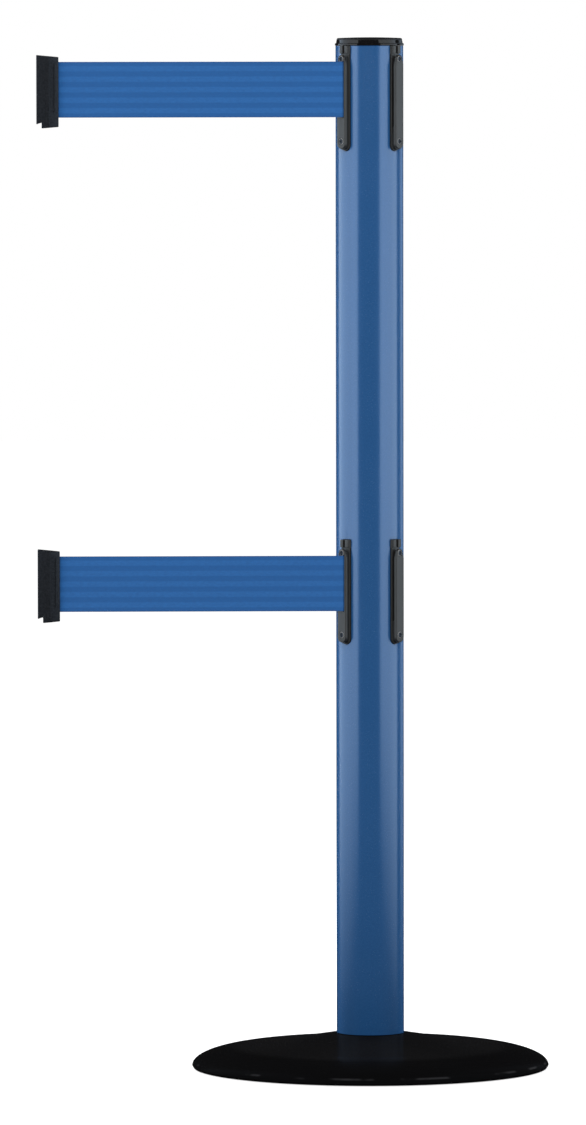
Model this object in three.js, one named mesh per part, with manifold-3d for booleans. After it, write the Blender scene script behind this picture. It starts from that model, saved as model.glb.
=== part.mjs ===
// A crowd-control stanchion with two retractable belts, one above the other, in millimetres.
// The origin is on the floor under the post, +Z is up, and both belts run out along -X.
import * as THREE from 'three';
import { mergeVertices } from 'three/addons/utils/BufferGeometryUtils.js';
import Module from 'manifold-3d';

const wasm = await Module();
wasm.setup();

// Clearance between neighbouring pieces
const GAP = 0.3;
const MERGE_DISTANCE = 1e-4;

// Whole object
const TOTAL_HEIGHT = 970;
const QUARTER_TURN = Math.PI / 2;
const HALF_TURN = Math.PI;

// Base
const BASE_RADIUS = 168;
const BASE_SIDES = 40;
const HUB_RADIUS = 34;
const HUB_TOP = 33.3;
const SHOULDER_RADIUS = 105;
const SHOULDER_TOP = 21.3;
const RIM_HEIGHT = 3.1;
const RIM_STEPS = 4;
const COVER_THICKNESS = 1.5;
const COVER_BOTTOM = 0.8;
const COVER_LIP = 3.5;
const COVER_HOLE_RADIUS = 22;
const WEIGHT_BOTTOM = 3;
const FLOOR_RING_INNER = 138;
const FLOOR_RING_OUTER = 158;
const BOLT_RADIUS = 6;
const BOLT_HEAD_RADIUS = 10.5;
const BOLT_HEAD_BOTTOM = 3.6;
const BOLT_HEAD_TOP = 10;
const BOLT_TOP = 60;
const WASHER_RADIUS = 14;
const WASHER_THICKNESS = 2;
const COUNTERBORE_RADIUS = 17;

// Post
const POST_RADIUS = 31.75;
const POST_WALL = 1.65;
const POST_SIDES = 40;
const POST_BOTTOM = HUB_TOP + GAP;
const POST_TOP = 962.2;
const FOOT_HEIGHT = 38;
const FOOT_CHAMFER = 3;
const CAP_RADIUS = 32.25;
const CAP_RIM_TOP = 967.6;
const CAP_CROWN_RADIUS = 30.4;
const CAP_CROWN_EDGE = 969.3;
const CAP_THICKNESS = 3;
const CAP_PLUG_RADIUS = 24.5;
const CAP_PLUG_WALL = 2.5;
const CAP_PLUG_DEPTH = 2;

// Heads: the height of the foot of each set of inserts, and the directions that they face
const HEAD_BOTTOMS = { upper: 863.8, lower: 401.4 };
const OUTLET_ANGLE = -3 * Math.PI / 4;
const RECEIVER_ANGLES = { front: -Math.PI / 4, back: Math.PI / 4, side: 3 * Math.PI / 4 };

// Inserts, from the foot of the insert upwards and from the post's axis outwards
const INSERT_HEIGHT = 98.4;
const INSERT_HALF_WIDTH = 5.2;
const INSERT_INNER = 26;
const FLANGE_FRONT = 33.5;
const RAIL_BACK = 36.3;
const RAIL_FRONT = 39;
const RAIL_HALF_WIDTH = 5.3;
const RAIL_BOTTOM = 2;
const RAIL_TAPER_START = 81.5;
const NECK_HALF_WIDTH = 2.6;
const NECK_BOTTOM = 18;
const NECK_TOP = 87;
const STOP_HALF_WIDTH = 4.4;
const STOP_BOTTOM = 0.9;
const STOP_TOP = 22;
const BROW_BOTTOM = 91;
const BROW_FRONT = 35.5;
const BROW_HALF_WIDTH = 5;
const BROW_SLIT_WIDTH = 2.4;
const TIP_RADIUS = 3.7;
const ARC_STEPS = 3;

// Insert screws
const SCREW_HEIGHTS = { bottom: 9, top: 86 };
const SCREW_HEAD_RADIUS = 2.8;
const SCREW_HEAD_THICKNESS = 1.5;
const SCREW_HEAD_FRONT = 38.9;
const SCREW_RADIUS = 1.5;
const SCREW_TIP = 22.9;
const SCREW_CROSS_LENGTH = 3.4;
const SCREW_CROSS_WIDTH = 0.8;
const SCREW_CROSS_DEPTH = 0.9;

// Belt
const BELT_WIDTH = 52;
const BELT_CENTRE = 57.6;
const BELT_THICKNESS = 0.5;
const BELT_BEND_RADIUS = 2;
const BELT_BEND_STEPS = 3;
const SLIT_ACROSS = 2.8;
const SLIT_WIDTH = 1.7;
const SLIT_HALF_HEIGHT = 26.8;
const SLIT_MOUTH = 29;
const SLIT_OUTLET = 39.5;

// Belt cassette inside the post
const CASSETTE_RADIUS = 25.4;
const CASSETTE_WALL = 2.8;
const CASSETTE_FLOOR_BOTTOM = -3;
const CASSETTE_FLOOR_TOP = -1;
const CASSETTE_TOP = 93;
const CASSETTE_SIDES = 20;
const LID_TOP = 95.3;
const LID_SPIGOT_BOTTOM = 91;
const LID_SPIGOT_WALL = 2.5;
const AXLE_RADIUS = 3;
const AXLE_HEAD_RADIUS = 5;
const AXLE_BOTTOM = -4.8;
const AXLE_TOP = 96;
const SPOOL_BOTTOM = 0.3;
const SPOOL_ARBOR_RADIUS = 5;
const SPOOL_CORE_RADIUS = 7.3;
const SPOOL_FLANGE_RADIUS = 21.8;
const SPOOL_FLANGE_THICKNESS = 2;
const SPOOL_LOWER_FLANGE = 28.2;
const SPOOL_UPPER_FLANGE = 84;
const ROLL_RADIUS = 18.6;
const SPRING_COVER_BOTTOM = 25.2;
const SPRING_COVER_TOP = 27;
const SPRING_BOTTOM = 1;
const SPRING_TOP = 24.5;
const SPRING_THICKNESS = 0.8;
const SPRING_INNER = 5.8;
const SPRING_OUTER = 21.6;
const SPRING_TURNS = 4;
const SPRING_STEPS_PER_TURN = 12;
const BRAKE_PAD_INNER = 9;
const BRAKE_PAD_OUTER = 20;
const BRAKE_PAD_THICKNESS = 2;
const BRAKE_WASHER_THICKNESS = 0.6;
const BRAKE_WASHER_RISE = 1.2;
const SMALL_SIDES = 8;
const MEDIUM_SIDES = 20;

// Tape end, with x measured along the belt and z from the belt's centre line
const TAPE_END_NEAR = -291.3;
const TAPE_END_FAR = -312.1;
const TAPE_END_STEP = -307.2;
const TAPE_END_SHOULDER = -300.8;
const TAPE_END_HALF_DEPTH = 7.9;
const TAPE_END_NEAR_HALF_DEPTH = 4.5;
const TAPE_END_TOP_FAR = 32.5;
const TAPE_END_TOP_NEAR = 30.6;
const TAPE_END_BOTTOM_FAR = -36;
const TAPE_END_BOTTOM_NEAR = -34.7;
const TAPE_END_JAW_BOTTOM = -32.2;
const JAW_LIP = 2;
const JAW_HALF_MOUTH = 3.1;
const JAW_HALF_WIDTH = 5.9;
const JAW_TOP = 28;
const PIN_X = -298.5;
const PIN_RADIUS = 1.6;
const PIN_TOP = 26.6;
const PIN_BOTTOM = -27.6;
const LOOP_TURN = 290 * Math.PI / 180;
const LOOP_STEPS = 8;

const MATERIALS = {
  bluePaint: new THREE.MeshStandardMaterial({ color: 0x2b5f9e, roughness: 0.25, metalness: 0.0 }),
  blackGloss: new THREE.MeshStandardMaterial({ color: 0x0c0c0d, roughness: 0.15, metalness: 0.0 }),
  greyPlastic: new THREE.MeshStandardMaterial({ color: 0x3b3d3d, roughness: 0.5, metalness: 0.0 }),
  blackPlastic: new THREE.MeshStandardMaterial({ color: 0x202226, roughness: 0.55, metalness: 0.0 }),
  blueWebbing: new THREE.MeshStandardMaterial({ color: 0x2d63a1, roughness: 0.85, metalness: 0.0 }),
  castIron: new THREE.MeshStandardMaterial({ color: 0x3a3a3c, roughness: 0.8, metalness: 0.6 }),
  steel: new THREE.MeshStandardMaterial({ color: 0x9a9da0, roughness: 0.35, metalness: 1.0 }),
  springSteel: new THREE.MeshStandardMaterial({ color: 0x4c5560, roughness: 0.4, metalness: 1.0 }),
  rubber: new THREE.MeshStandardMaterial({ color: 0x17181a, roughness: 0.9, metalness: 0.0 }),
  felt: new THREE.MeshStandardMaterial({ color: 0x6b655c, roughness: 1.0, metalness: 0.0 }),
};

// A closed three.js geometry as a solid that can be joined and cut.
function solidFrom(geometry) {
  const bare = geometry.clone();
  bare.deleteAttribute('normal');
  bare.deleteAttribute('uv');
  const merged = mergeVertices(bare, MERGE_DISTANCE);
  const corners = merged.index.array;
  const triangles = [];
  for (let i = 0; i < corners.length; i += 3) {
    const [a, b, c] = [corners[i], corners[i + 1], corners[i + 2]];
    if (a !== b && b !== c && c !== a) triangles.push(a, b, c);
  }
  return new wasm.Manifold(new wasm.Mesh({
    numProp: 3,
    vertProperties: merged.attributes.position.array,
    triVerts: new Uint32Array(triangles),
  }));
}

// A named mesh made from a solid.
function piece(name, solid, material) {
  const { numProp, vertProperties, triVerts } = solid.getMesh();
  const geometry = new THREE.BufferGeometry();
  const corners = new THREE.InterleavedBuffer(vertProperties, numProp);
  geometry.setAttribute('position', new THREE.InterleavedBufferAttribute(corners, 3, 0));
  geometry.setIndex(new THREE.BufferAttribute(triVerts, 1));
  const flat = geometry.toNonIndexed();
  flat.computeVertexNormals();
  const mesh = new THREE.Mesh(flat, material);
  mesh.name = name;
  return mesh;
}

// A solid turned about Z from an outline of [radius, height] points, listed in either direction.
function turned(outline, sides) {
  const points = outline.map(([radius, height]) => new THREE.Vector2(radius, height));
  const onAxis = outline[0][0] === 0 && outline[outline.length - 1][0] === 0;
  if (THREE.ShapeUtils.area(points) < 0) points.reverse();
  if (!onAxis) points.push(points[0].clone());
  return solidFrom(new THREE.LatheGeometry(points, sides).rotateX(QUARTER_TURN));
}

function ring(inner, outer, bottom, top, sides) {
  return turned([[inner, bottom], [outer, bottom], [outer, top], [inner, top]], sides);
}

// An upright cylinder about the line through x, y.
function cylinder(radius, bottom, top, sides, x = 0, y = 0) {
  const geometry = new THREE.CylinderGeometry(radius, radius, top - bottom, sides);
  return solidFrom(geometry.rotateX(QUARTER_TURN).translate(x, y, (bottom + top) / 2));
}

// A cylinder along +X at the height z.
function crossCylinder(radius, start, end, sides, z) {
  const geometry = new THREE.CylinderGeometry(radius, radius, end - start, sides);
  return solidFrom(geometry.rotateZ(-QUARTER_TURN).translate((start + end) / 2, 0, z));
}

function block([x0, x1], [y0, y1], [z0, z1]) {
  const geometry = new THREE.BoxGeometry(x1 - x0, y1 - y0, z1 - z0);
  return solidFrom(geometry.translate((x0 + x1) / 2, (y0 + y1) / 2, (z0 + z1) / 2));
}

// An outline drawn across (Y) and up (Z), as a plate from one distance along +X to another.
function facingPlate(shape, start, end) {
  const options = { depth: end - start, bevelEnabled: false, curveSegments: ARC_STEPS };
  const geometry = new THREE.ExtrudeGeometry(shape, options);
  const turn = new THREE.Matrix4().makeBasis(
    new THREE.Vector3(0, 1, 0), new THREE.Vector3(0, 0, 1), new THREE.Vector3(1, 0, 0));
  return solidFrom(geometry.applyMatrix4(turn).translate(start, 0, 0));
}

// An outline drawn in plan, as an upright wall from bottom to top.
function uprightPlate(shape, bottom, top) {
  const options = { depth: top - bottom, bevelEnabled: false };
  return solidFrom(new THREE.ExtrudeGeometry(shape, options).translate(0, 0, bottom));
}

// The outline of a strip of even thickness along a line of points.
function stripShape(points, thickness) {
  const left = [];
  const right = [];
  points.forEach((point, i) => {
    const before = points[Math.max(i - 1, 0)];
    const after = points[Math.min(i + 1, points.length - 1)];
    const side = after.clone().sub(before).normalize();
    const offset = new THREE.Vector2(-side.y, side.x).multiplyScalar(thickness / 2);
    left.push(point.clone().add(offset));
    right.push(point.clone().sub(offset));
  });
  return new THREE.Shape([...left, ...right.reverse()]);
}

// ---- Base ----

// The cover's upper surface from the hub to the rim, moved inwards by a distance.
function domeOutline(inset) {
  const outline = [[COVER_HOLE_RADIUS, HUB_TOP - inset], [HUB_RADIUS, HUB_TOP - inset]];
  const across = BASE_RADIUS - SHOULDER_RADIUS - inset;
  const drop = SHOULDER_TOP - inset - RIM_HEIGHT;
  for (let i = 0; i <= RIM_STEPS; i += 1) {
    const angle = QUARTER_TURN * i / RIM_STEPS;
    outline.push([SHOULDER_RADIUS + across * Math.sin(angle), RIM_HEIGHT + drop * Math.cos(angle)]);
  }
  return outline;
}

function makeBaseCover() {
  const outer = domeOutline(0);
  outer.push([BASE_RADIUS - COVER_THICKNESS, COVER_BOTTOM], [BASE_RADIUS - COVER_LIP, COVER_BOTTOM]);
  const inner = domeOutline(COVER_THICKNESS);
  return turned([...outer, ...inner.reverse()], BASE_SIDES);
}

function makeBaseWeight() {
  const top = domeOutline(COVER_THICKNESS + GAP).slice(0, -1);
  const edge = top[top.length - 1];
  const bossRadius = COVER_HOLE_RADIUS - GAP;
  const seat = BOLT_HEAD_TOP + GAP + WASHER_THICKNESS + GAP;
  const bore = BOLT_RADIUS + GAP;
  return turned([
    [bore, HUB_TOP], [bossRadius, HUB_TOP], [bossRadius, HUB_TOP - COVER_THICKNESS - GAP],
    ...top.slice(1),
    [edge[0], WEIGHT_BOTTOM],
    [COUNTERBORE_RADIUS, WEIGHT_BOTTOM], [COUNTERBORE_RADIUS, seat], [bore, seat],
  ], BASE_SIDES);
}

function makeBaseBolt() {
  const head = cylinder(BOLT_HEAD_RADIUS, BOLT_HEAD_BOTTOM, BOLT_HEAD_TOP, 6);
  return head.add(cylinder(BOLT_RADIUS, BOLT_HEAD_TOP - 1, BOLT_TOP, MEDIUM_SIDES));
}

function addBase(group) {
  const washerBottom = BOLT_HEAD_TOP + GAP;
  const floorRing = ring(FLOOR_RING_INNER, FLOOR_RING_OUTER, 0, WEIGHT_BOTTOM - GAP, BASE_SIDES);
  const plug = cylinder(COUNTERBORE_RADIUS - GAP, 0, BOLT_HEAD_BOTTOM - GAP, MEDIUM_SIDES);
  const washer = ring(
    BOLT_RADIUS + GAP, WASHER_RADIUS, washerBottom, washerBottom + WASHER_THICKNESS, MEDIUM_SIDES);
  group.add(
    piece('floor_ring', floorRing, MATERIALS.rubber),
    piece('bolt_plug', plug, MATERIALS.rubber),
    piece('base_weight', makeBaseWeight(), MATERIALS.castIron),
    piece('base_cover', makeBaseCover(), MATERIALS.blackGloss),
    piece('base_bolt', makeBaseBolt(), MATERIALS.steel),
    piece('base_washer', washer, MATERIALS.steel),
  );
}

// ---- Post ----

// A slot or an insert seen from outside: square at the top and round at the bottom.
function roundFootedShape(halfWidth, bottom, top) {
  const shape = new THREE.Shape();
  shape.moveTo(halfWidth, top);
  shape.lineTo(-halfWidth, top);
  shape.lineTo(-halfWidth, bottom + halfWidth);
  shape.absarc(0, bottom + halfWidth, halfWidth, HALF_TURN, 2 * HALF_TURN, false);
  shape.closePath();
  return shape;
}

function makePostTube() {
  let tube = ring(POST_RADIUS - POST_WALL, POST_RADIUS, POST_BOTTOM, POST_TOP, POST_SIDES);
  const angles = [OUTLET_ANGLE, ...Object.values(RECEIVER_ANGLES)];
  for (const [level, bottom] of Object.entries(HEAD_BOTTOMS)) {
    const openTop = level === 'upper' ? POST_TOP + 1 : bottom + INSERT_HEIGHT + GAP;
    const shape = roundFootedShape(INSERT_HALF_WIDTH + GAP, bottom - GAP, openTop);
    const slot = facingPlate(shape, INSERT_INNER, POST_RADIUS + 1);
    for (const angle of angles) {
      tube = tube.subtract(slot.rotate([0, 0, THREE.MathUtils.radToDeg(angle)]));
    }
  }
  return tube;
}

function makePostFoot() {
  const outer = POST_RADIUS - POST_WALL - GAP;
  const top = POST_BOTTOM + FOOT_HEIGHT;
  return turned([
    [BOLT_RADIUS + GAP, POST_BOTTOM], [outer, POST_BOTTOM], [outer, top - FOOT_CHAMFER],
    [outer - FOOT_CHAMFER, top], [BOLT_RADIUS + GAP, top],
  ], POST_SIDES);
}

function makeTopCap() {
  const seat = POST_TOP + GAP;
  const plugInner = CAP_PLUG_RADIUS - CAP_PLUG_WALL;
  const ceiling = TOTAL_HEIGHT - CAP_THICKNESS;
  const rounding = [];
  for (let i = 0; i <= ARC_STEPS; i += 1) {
    const angle = QUARTER_TURN * i / ARC_STEPS;
    rounding.push([
      CAP_CROWN_RADIUS + (CAP_RADIUS - CAP_CROWN_RADIUS) * Math.cos(angle),
      CAP_RIM_TOP + (CAP_CROWN_EDGE - CAP_RIM_TOP) * Math.sin(angle),
    ]);
  }
  return turned([
    [CAP_PLUG_RADIUS, seat], [CAP_RADIUS, seat], ...rounding, [0, TOTAL_HEIGHT], [0, ceiling],
    [plugInner, ceiling], [plugInner, seat - CAP_PLUG_DEPTH], [CAP_PLUG_RADIUS, seat - CAP_PLUG_DEPTH],
  ], POST_SIDES);
}

function addPost(group) {
  group.add(
    piece('post_tube', makePostTube(), MATERIALS.bluePaint),
    piece('post_foot', makePostFoot(), MATERIALS.castIron),
    piece('top_cap', makeTopCap(), MATERIALS.blackGloss),
  );
}

// ---- Inserts: the receivers that take another stanchion's belt, and the belt's own outlet ----

// The front plate of the rail: round at the bottom, tapered to a round tip at the top.
function railShape() {
  const shape = new THREE.Shape();
  shape.moveTo(RAIL_HALF_WIDTH, RAIL_TAPER_START);
  shape.absarc(0, SCREW_HEIGHTS.top, TIP_RADIUS, 0, HALF_TURN, false);
  shape.lineTo(-RAIL_HALF_WIDTH, RAIL_TAPER_START);
  shape.absarc(0, RAIL_BOTTOM + RAIL_HALF_WIDTH, RAIL_HALF_WIDTH, HALF_TURN, 2 * HALF_TURN, false);
  shape.closePath();
  return shape;
}

// One moulding, with its front along +X and its foot at z = 0.
function makeInsert(neckHalfWidth) {
  const overlap = 0.5;
  const body = facingPlate(
    roundFootedShape(INSERT_HALF_WIDTH, 0, INSERT_HEIGHT), INSERT_INNER, FLANGE_FRONT);
  const stop = facingPlate(
    roundFootedShape(STOP_HALF_WIDTH, STOP_BOTTOM, STOP_TOP), FLANGE_FRONT - overlap, RAIL_BACK);
  const neck = block(
    [FLANGE_FRONT - overlap, RAIL_BACK + overlap], [-neckHalfWidth, neckHalfWidth],
    [NECK_BOTTOM, NECK_TOP]);
  const rail = facingPlate(railShape(), RAIL_BACK, RAIL_FRONT);
  const brow = block(
    [FLANGE_FRONT - overlap, BROW_FRONT], [-BROW_HALF_WIDTH, BROW_HALF_WIDTH],
    [BROW_BOTTOM, INSERT_HEIGHT]);
  const browSlit = block(
    [FLANGE_FRONT, BROW_FRONT + 1], [-BROW_SLIT_WIDTH / 2, BROW_SLIT_WIDTH / 2],
    [BROW_BOTTOM, INSERT_HEIGHT + 1]);
  let insert = body.add(stop).add(neck).add(rail).add(brow.subtract(browSlit));
  for (const height of Object.values(SCREW_HEIGHTS)) {
    const shankHole = crossCylinder(
      SCREW_RADIUS + GAP, INSERT_INNER - 1, RAIL_FRONT + 1, SMALL_SIDES, height);
    const headHole = crossCylinder(
      SCREW_HEAD_RADIUS + GAP, SCREW_HEAD_FRONT - SCREW_HEAD_THICKNESS - GAP, RAIL_FRONT + 1,
      MEDIUM_SIDES / 2, height);
    insert = insert.subtract(shankHole).subtract(headHole);
  }
  return insert;
}

// The outlet has a wider neck, cut through by the slit that the belt leaves by.
function makeOutlet() {
  const slit = block(
    [INSERT_INNER - 1, RAIL_FRONT + 1], [SLIT_ACROSS - SLIT_WIDTH / 2, SLIT_ACROSS + SLIT_WIDTH / 2],
    [BELT_CENTRE - SLIT_HALF_HEIGHT, BELT_CENTRE + SLIT_HALF_HEIGHT]);
  const mouth = block(
    [INSERT_INNER - 1, SLIT_MOUTH], [SLIT_ACROSS - SLIT_WIDTH / 2, SLIT_ACROSS + 2 * SLIT_WIDTH],
    [BELT_CENTRE - SLIT_HALF_HEIGHT, BELT_CENTRE + SLIT_HALF_HEIGHT]);
  return makeInsert(SLIT_ACROSS + SLIT_WIDTH).subtract(slit).subtract(mouth);
}

// A countersunk screw along +X, with a cross recess in its head.
function makeScrew(height) {
  const seat = SCREW_HEAD_FRONT - SCREW_HEAD_THICKNESS;
  const half = SCREW_CROSS_LENGTH / 2;
  const halfWidth = SCREW_CROSS_WIDTH / 2;
  const depth = [SCREW_HEAD_FRONT - SCREW_CROSS_DEPTH, SCREW_HEAD_FRONT + 1];
  const head = crossCylinder(SCREW_HEAD_RADIUS, seat, SCREW_HEAD_FRONT, MEDIUM_SIDES / 2, height);
  const shank = crossCylinder(SCREW_RADIUS, SCREW_TIP, seat + GAP, SMALL_SIDES, height);
  const level = block(depth, [-half, half], [height - halfWidth, height + halfWidth]);
  const upright = block(depth, [-halfWidth, halfWidth], [height - half, height + half]);
  return head.add(shank).subtract(level).subtract(upright);
}

function addInserts(head, level) {
  const places = { outlet: OUTLET_ANGLE, ...RECEIVER_ANGLES };
  for (const [place, angle] of Object.entries(places)) {
    const side = new THREE.Group();
    side.rotation.z = angle;
    const isOutlet = place === 'outlet';
    const name = isOutlet ? `${level}_belt_outlet` : `${level}_receiver_${place}`;
    const solid = isOutlet ? makeOutlet() : makeInsert(NECK_HALF_WIDTH);
    side.add(piece(name, solid, MATERIALS.greyPlastic));
    for (const [end, height] of Object.entries(SCREW_HEIGHTS)) {
      side.add(piece(`${level}_${place}_screw_${end}`, makeScrew(height), MATERIALS.steel));
    }
    head.add(side);
  }
}

// ---- Belt cassette ----

function makeCassetteShell() {
  const inner = CASSETTE_RADIUS - CASSETTE_WALL;
  let shell = turned([
    [AXLE_RADIUS + GAP, CASSETTE_FLOOR_BOTTOM], [CASSETTE_RADIUS, CASSETTE_FLOOR_BOTTOM],
    [CASSETTE_RADIUS, CASSETTE_TOP], [inner, CASSETTE_TOP], [inner, CASSETTE_FLOOR_TOP],
    [AXLE_RADIUS + GAP, CASSETTE_FLOOR_TOP],
  ], CASSETTE_SIDES);
  const window = block(
    [inner - 3, CASSETTE_RADIUS + 1], [SLIT_ACROSS - SLIT_WIDTH, SLIT_ACROSS + 4 * SLIT_WIDTH],
    [BELT_CENTRE - SLIT_HALF_HEIGHT, BELT_CENTRE + SLIT_HALF_HEIGHT]);
  const places = [OUTLET_ANGLE, ...Object.values(RECEIVER_ANGLES)];
  shell = shell.subtract(window.rotate([0, 0, THREE.MathUtils.radToDeg(OUTLET_ANGLE)]));
  for (const angle of places) {
    for (const height of Object.values(SCREW_HEIGHTS)) {
      const hole = crossCylinder(
        SCREW_RADIUS + GAP, inner - 2, CASSETTE_RADIUS + 1, SMALL_SIDES, height);
      shell = shell.subtract(hole.rotate([0, 0, THREE.MathUtils.radToDeg(angle)]));
    }
  }
  return shell;
}

function makeCassetteLid() {
  const spigot = CASSETTE_RADIUS - CASSETTE_WALL - GAP;
  const seat = CASSETTE_TOP + GAP;
  return turned([
    [AXLE_RADIUS + GAP, seat], [spigot - LID_SPIGOT_WALL, seat],
    [spigot - LID_SPIGOT_WALL, LID_SPIGOT_BOTTOM], [spigot, LID_SPIGOT_BOTTOM], [spigot, seat],
    [CASSETTE_RADIUS, seat], [CASSETTE_RADIUS, LID_TOP], [AXLE_RADIUS + GAP, LID_TOP],
  ], CASSETTE_SIDES);
}

function makeSpool() {
  const bore = AXLE_RADIUS + GAP;
  const lowerTop = SPOOL_LOWER_FLANGE + SPOOL_FLANGE_THICKNESS;
  const upperTop = SPOOL_UPPER_FLANGE + SPOOL_FLANGE_THICKNESS;
  return turned([
    [bore, SPOOL_BOTTOM], [SPOOL_ARBOR_RADIUS, SPOOL_BOTTOM],
    [SPOOL_ARBOR_RADIUS, SPOOL_LOWER_FLANGE], [SPOOL_FLANGE_RADIUS, SPOOL_LOWER_FLANGE],
    [SPOOL_FLANGE_RADIUS, lowerTop], [SPOOL_CORE_RADIUS, lowerTop],
    [SPOOL_CORE_RADIUS, SPOOL_UPPER_FLANGE], [SPOOL_FLANGE_RADIUS, SPOOL_UPPER_FLANGE],
    [SPOOL_FLANGE_RADIUS, upperTop], [bore, upperTop],
  ], MEDIUM_SIDES);
}

function makePowerSpring() {
  const steps = SPRING_TURNS * SPRING_STEPS_PER_TURN;
  const points = [];
  for (let i = 0; i <= steps; i += 1) {
    const angle = 2 * HALF_TURN * i / SPRING_STEPS_PER_TURN;
    const radius = SPRING_INNER + (SPRING_OUTER - SPRING_INNER) * i / steps;
    points.push(new THREE.Vector2(radius * Math.cos(angle), radius * Math.sin(angle)));
  }
  return uprightPlate(stripShape(points, SPRING_THICKNESS), SPRING_BOTTOM, SPRING_TOP);
}

function makeBrakeWasher(bottom) {
  const inner = BRAKE_PAD_INNER;
  const outer = BRAKE_PAD_OUTER - 2;
  return turned([
    [outer, bottom], [outer, bottom + BRAKE_WASHER_THICKNESS],
    [inner, bottom + BRAKE_WASHER_RISE + BRAKE_WASHER_THICKNESS], [inner, bottom + BRAKE_WASHER_RISE],
  ], MEDIUM_SIDES);
}

function makeAxle() {
  const head = cylinder(
    AXLE_HEAD_RADIUS, AXLE_BOTTOM, CASSETTE_FLOOR_BOTTOM - GAP, MEDIUM_SIDES / 2);
  return head.add(cylinder(AXLE_RADIUS, AXLE_BOTTOM, AXLE_TOP, MEDIUM_SIDES / 2));
}

function addCassette(head, level) {
  const beltBottom = BELT_CENTRE - BELT_WIDTH / 2;
  const padBottom = SPOOL_UPPER_FLANGE + SPOOL_FLANGE_THICKNESS + GAP;
  const padTop = padBottom + BRAKE_PAD_THICKNESS;
  const roll = ring(
    SPOOL_CORE_RADIUS + GAP, ROLL_RADIUS, beltBottom, beltBottom + BELT_WIDTH, CASSETTE_SIDES);
  const springCover = ring(
    SPOOL_ARBOR_RADIUS + GAP, CASSETTE_RADIUS - CASSETTE_WALL - GAP, SPRING_COVER_BOTTOM,
    SPRING_COVER_TOP, MEDIUM_SIDES);
  const pad = ring(BRAKE_PAD_INNER, BRAKE_PAD_OUTER, padBottom, padTop, MEDIUM_SIDES);
  head.add(
    piece(`${level}_cassette_shell`, makeCassetteShell(), MATERIALS.blackPlastic),
    piece(`${level}_cassette_lid`, makeCassetteLid(), MATERIALS.blackPlastic),
    piece(`${level}_axle`, makeAxle(), MATERIALS.steel),
    piece(`${level}_spool`, makeSpool(), MATERIALS.greyPlastic),
    piece(`${level}_belt_roll`, roll, MATERIALS.blueWebbing),
    piece(`${level}_power_spring`, makePowerSpring(), MATERIALS.springSteel),
    piece(`${level}_spring_cover`, springCover, MATERIALS.blackPlastic),
    piece(`${level}_brake_pad`, pad, MATERIALS.felt),
    piece(`${level}_brake_washer`, makeBrakeWasher(padTop + GAP), MATERIALS.springSteel),
  );
}

// ---- Belt and tape end ----

// A point beside the belt outlet, by its distance outwards from the post's axis and across it.
function atOutlet(outwards, across) {
  return new THREE.Vector2(outwards, across).rotateAround(new THREE.Vector2(), OUTLET_ANGLE);
}

// The level, in plan, that the free belt runs at: past the bend around the outlet's lip.
const BEND_CENTRE = atOutlet(SLIT_OUTLET, SLIT_ACROSS - BELT_BEND_RADIUS);
const BELT_Y = BEND_CENTRE.y - BELT_BEND_RADIUS;
const LOOP_RADIUS = PIN_RADIUS + GAP + BELT_THICKNESS / 2;

// The middle line of the belt: off the roll, through the slit, round the lip, out and round the pin.
function beltLine() {
  const mouth = new THREE.Vector2(INSERT_INNER + 1, SLIT_ACROSS);
  const wrap = ROLL_RADIUS + GAP + BELT_THICKNESS / 2;
  const tangentAngle = mouth.angle() + Math.acos(wrap / mouth.length());
  const points = [
    atOutlet(wrap * Math.cos(tangentAngle), wrap * Math.sin(tangentAngle)),
    atOutlet(mouth.x, mouth.y),
  ];
  const bendStart = OUTLET_ANGLE + QUARTER_TURN;
  const bendTurn = -QUARTER_TURN / 2;
  for (let i = 0; i <= BELT_BEND_STEPS; i += 1) {
    const angle = bendStart + bendTurn * i / BELT_BEND_STEPS;
    points.push(new THREE.Vector2(
      BEND_CENTRE.x + BELT_BEND_RADIUS * Math.cos(angle),
      BEND_CENTRE.y + BELT_BEND_RADIUS * Math.sin(angle)));
  }
  for (let i = 0; i <= LOOP_STEPS; i += 1) {
    const angle = -QUARTER_TURN - LOOP_TURN * i / LOOP_STEPS;
    points.push(new THREE.Vector2(
      PIN_X + LOOP_RADIUS * Math.cos(angle), BELT_Y + LOOP_RADIUS * (1 + Math.sin(angle))));
  }
  return points;
}

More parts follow.
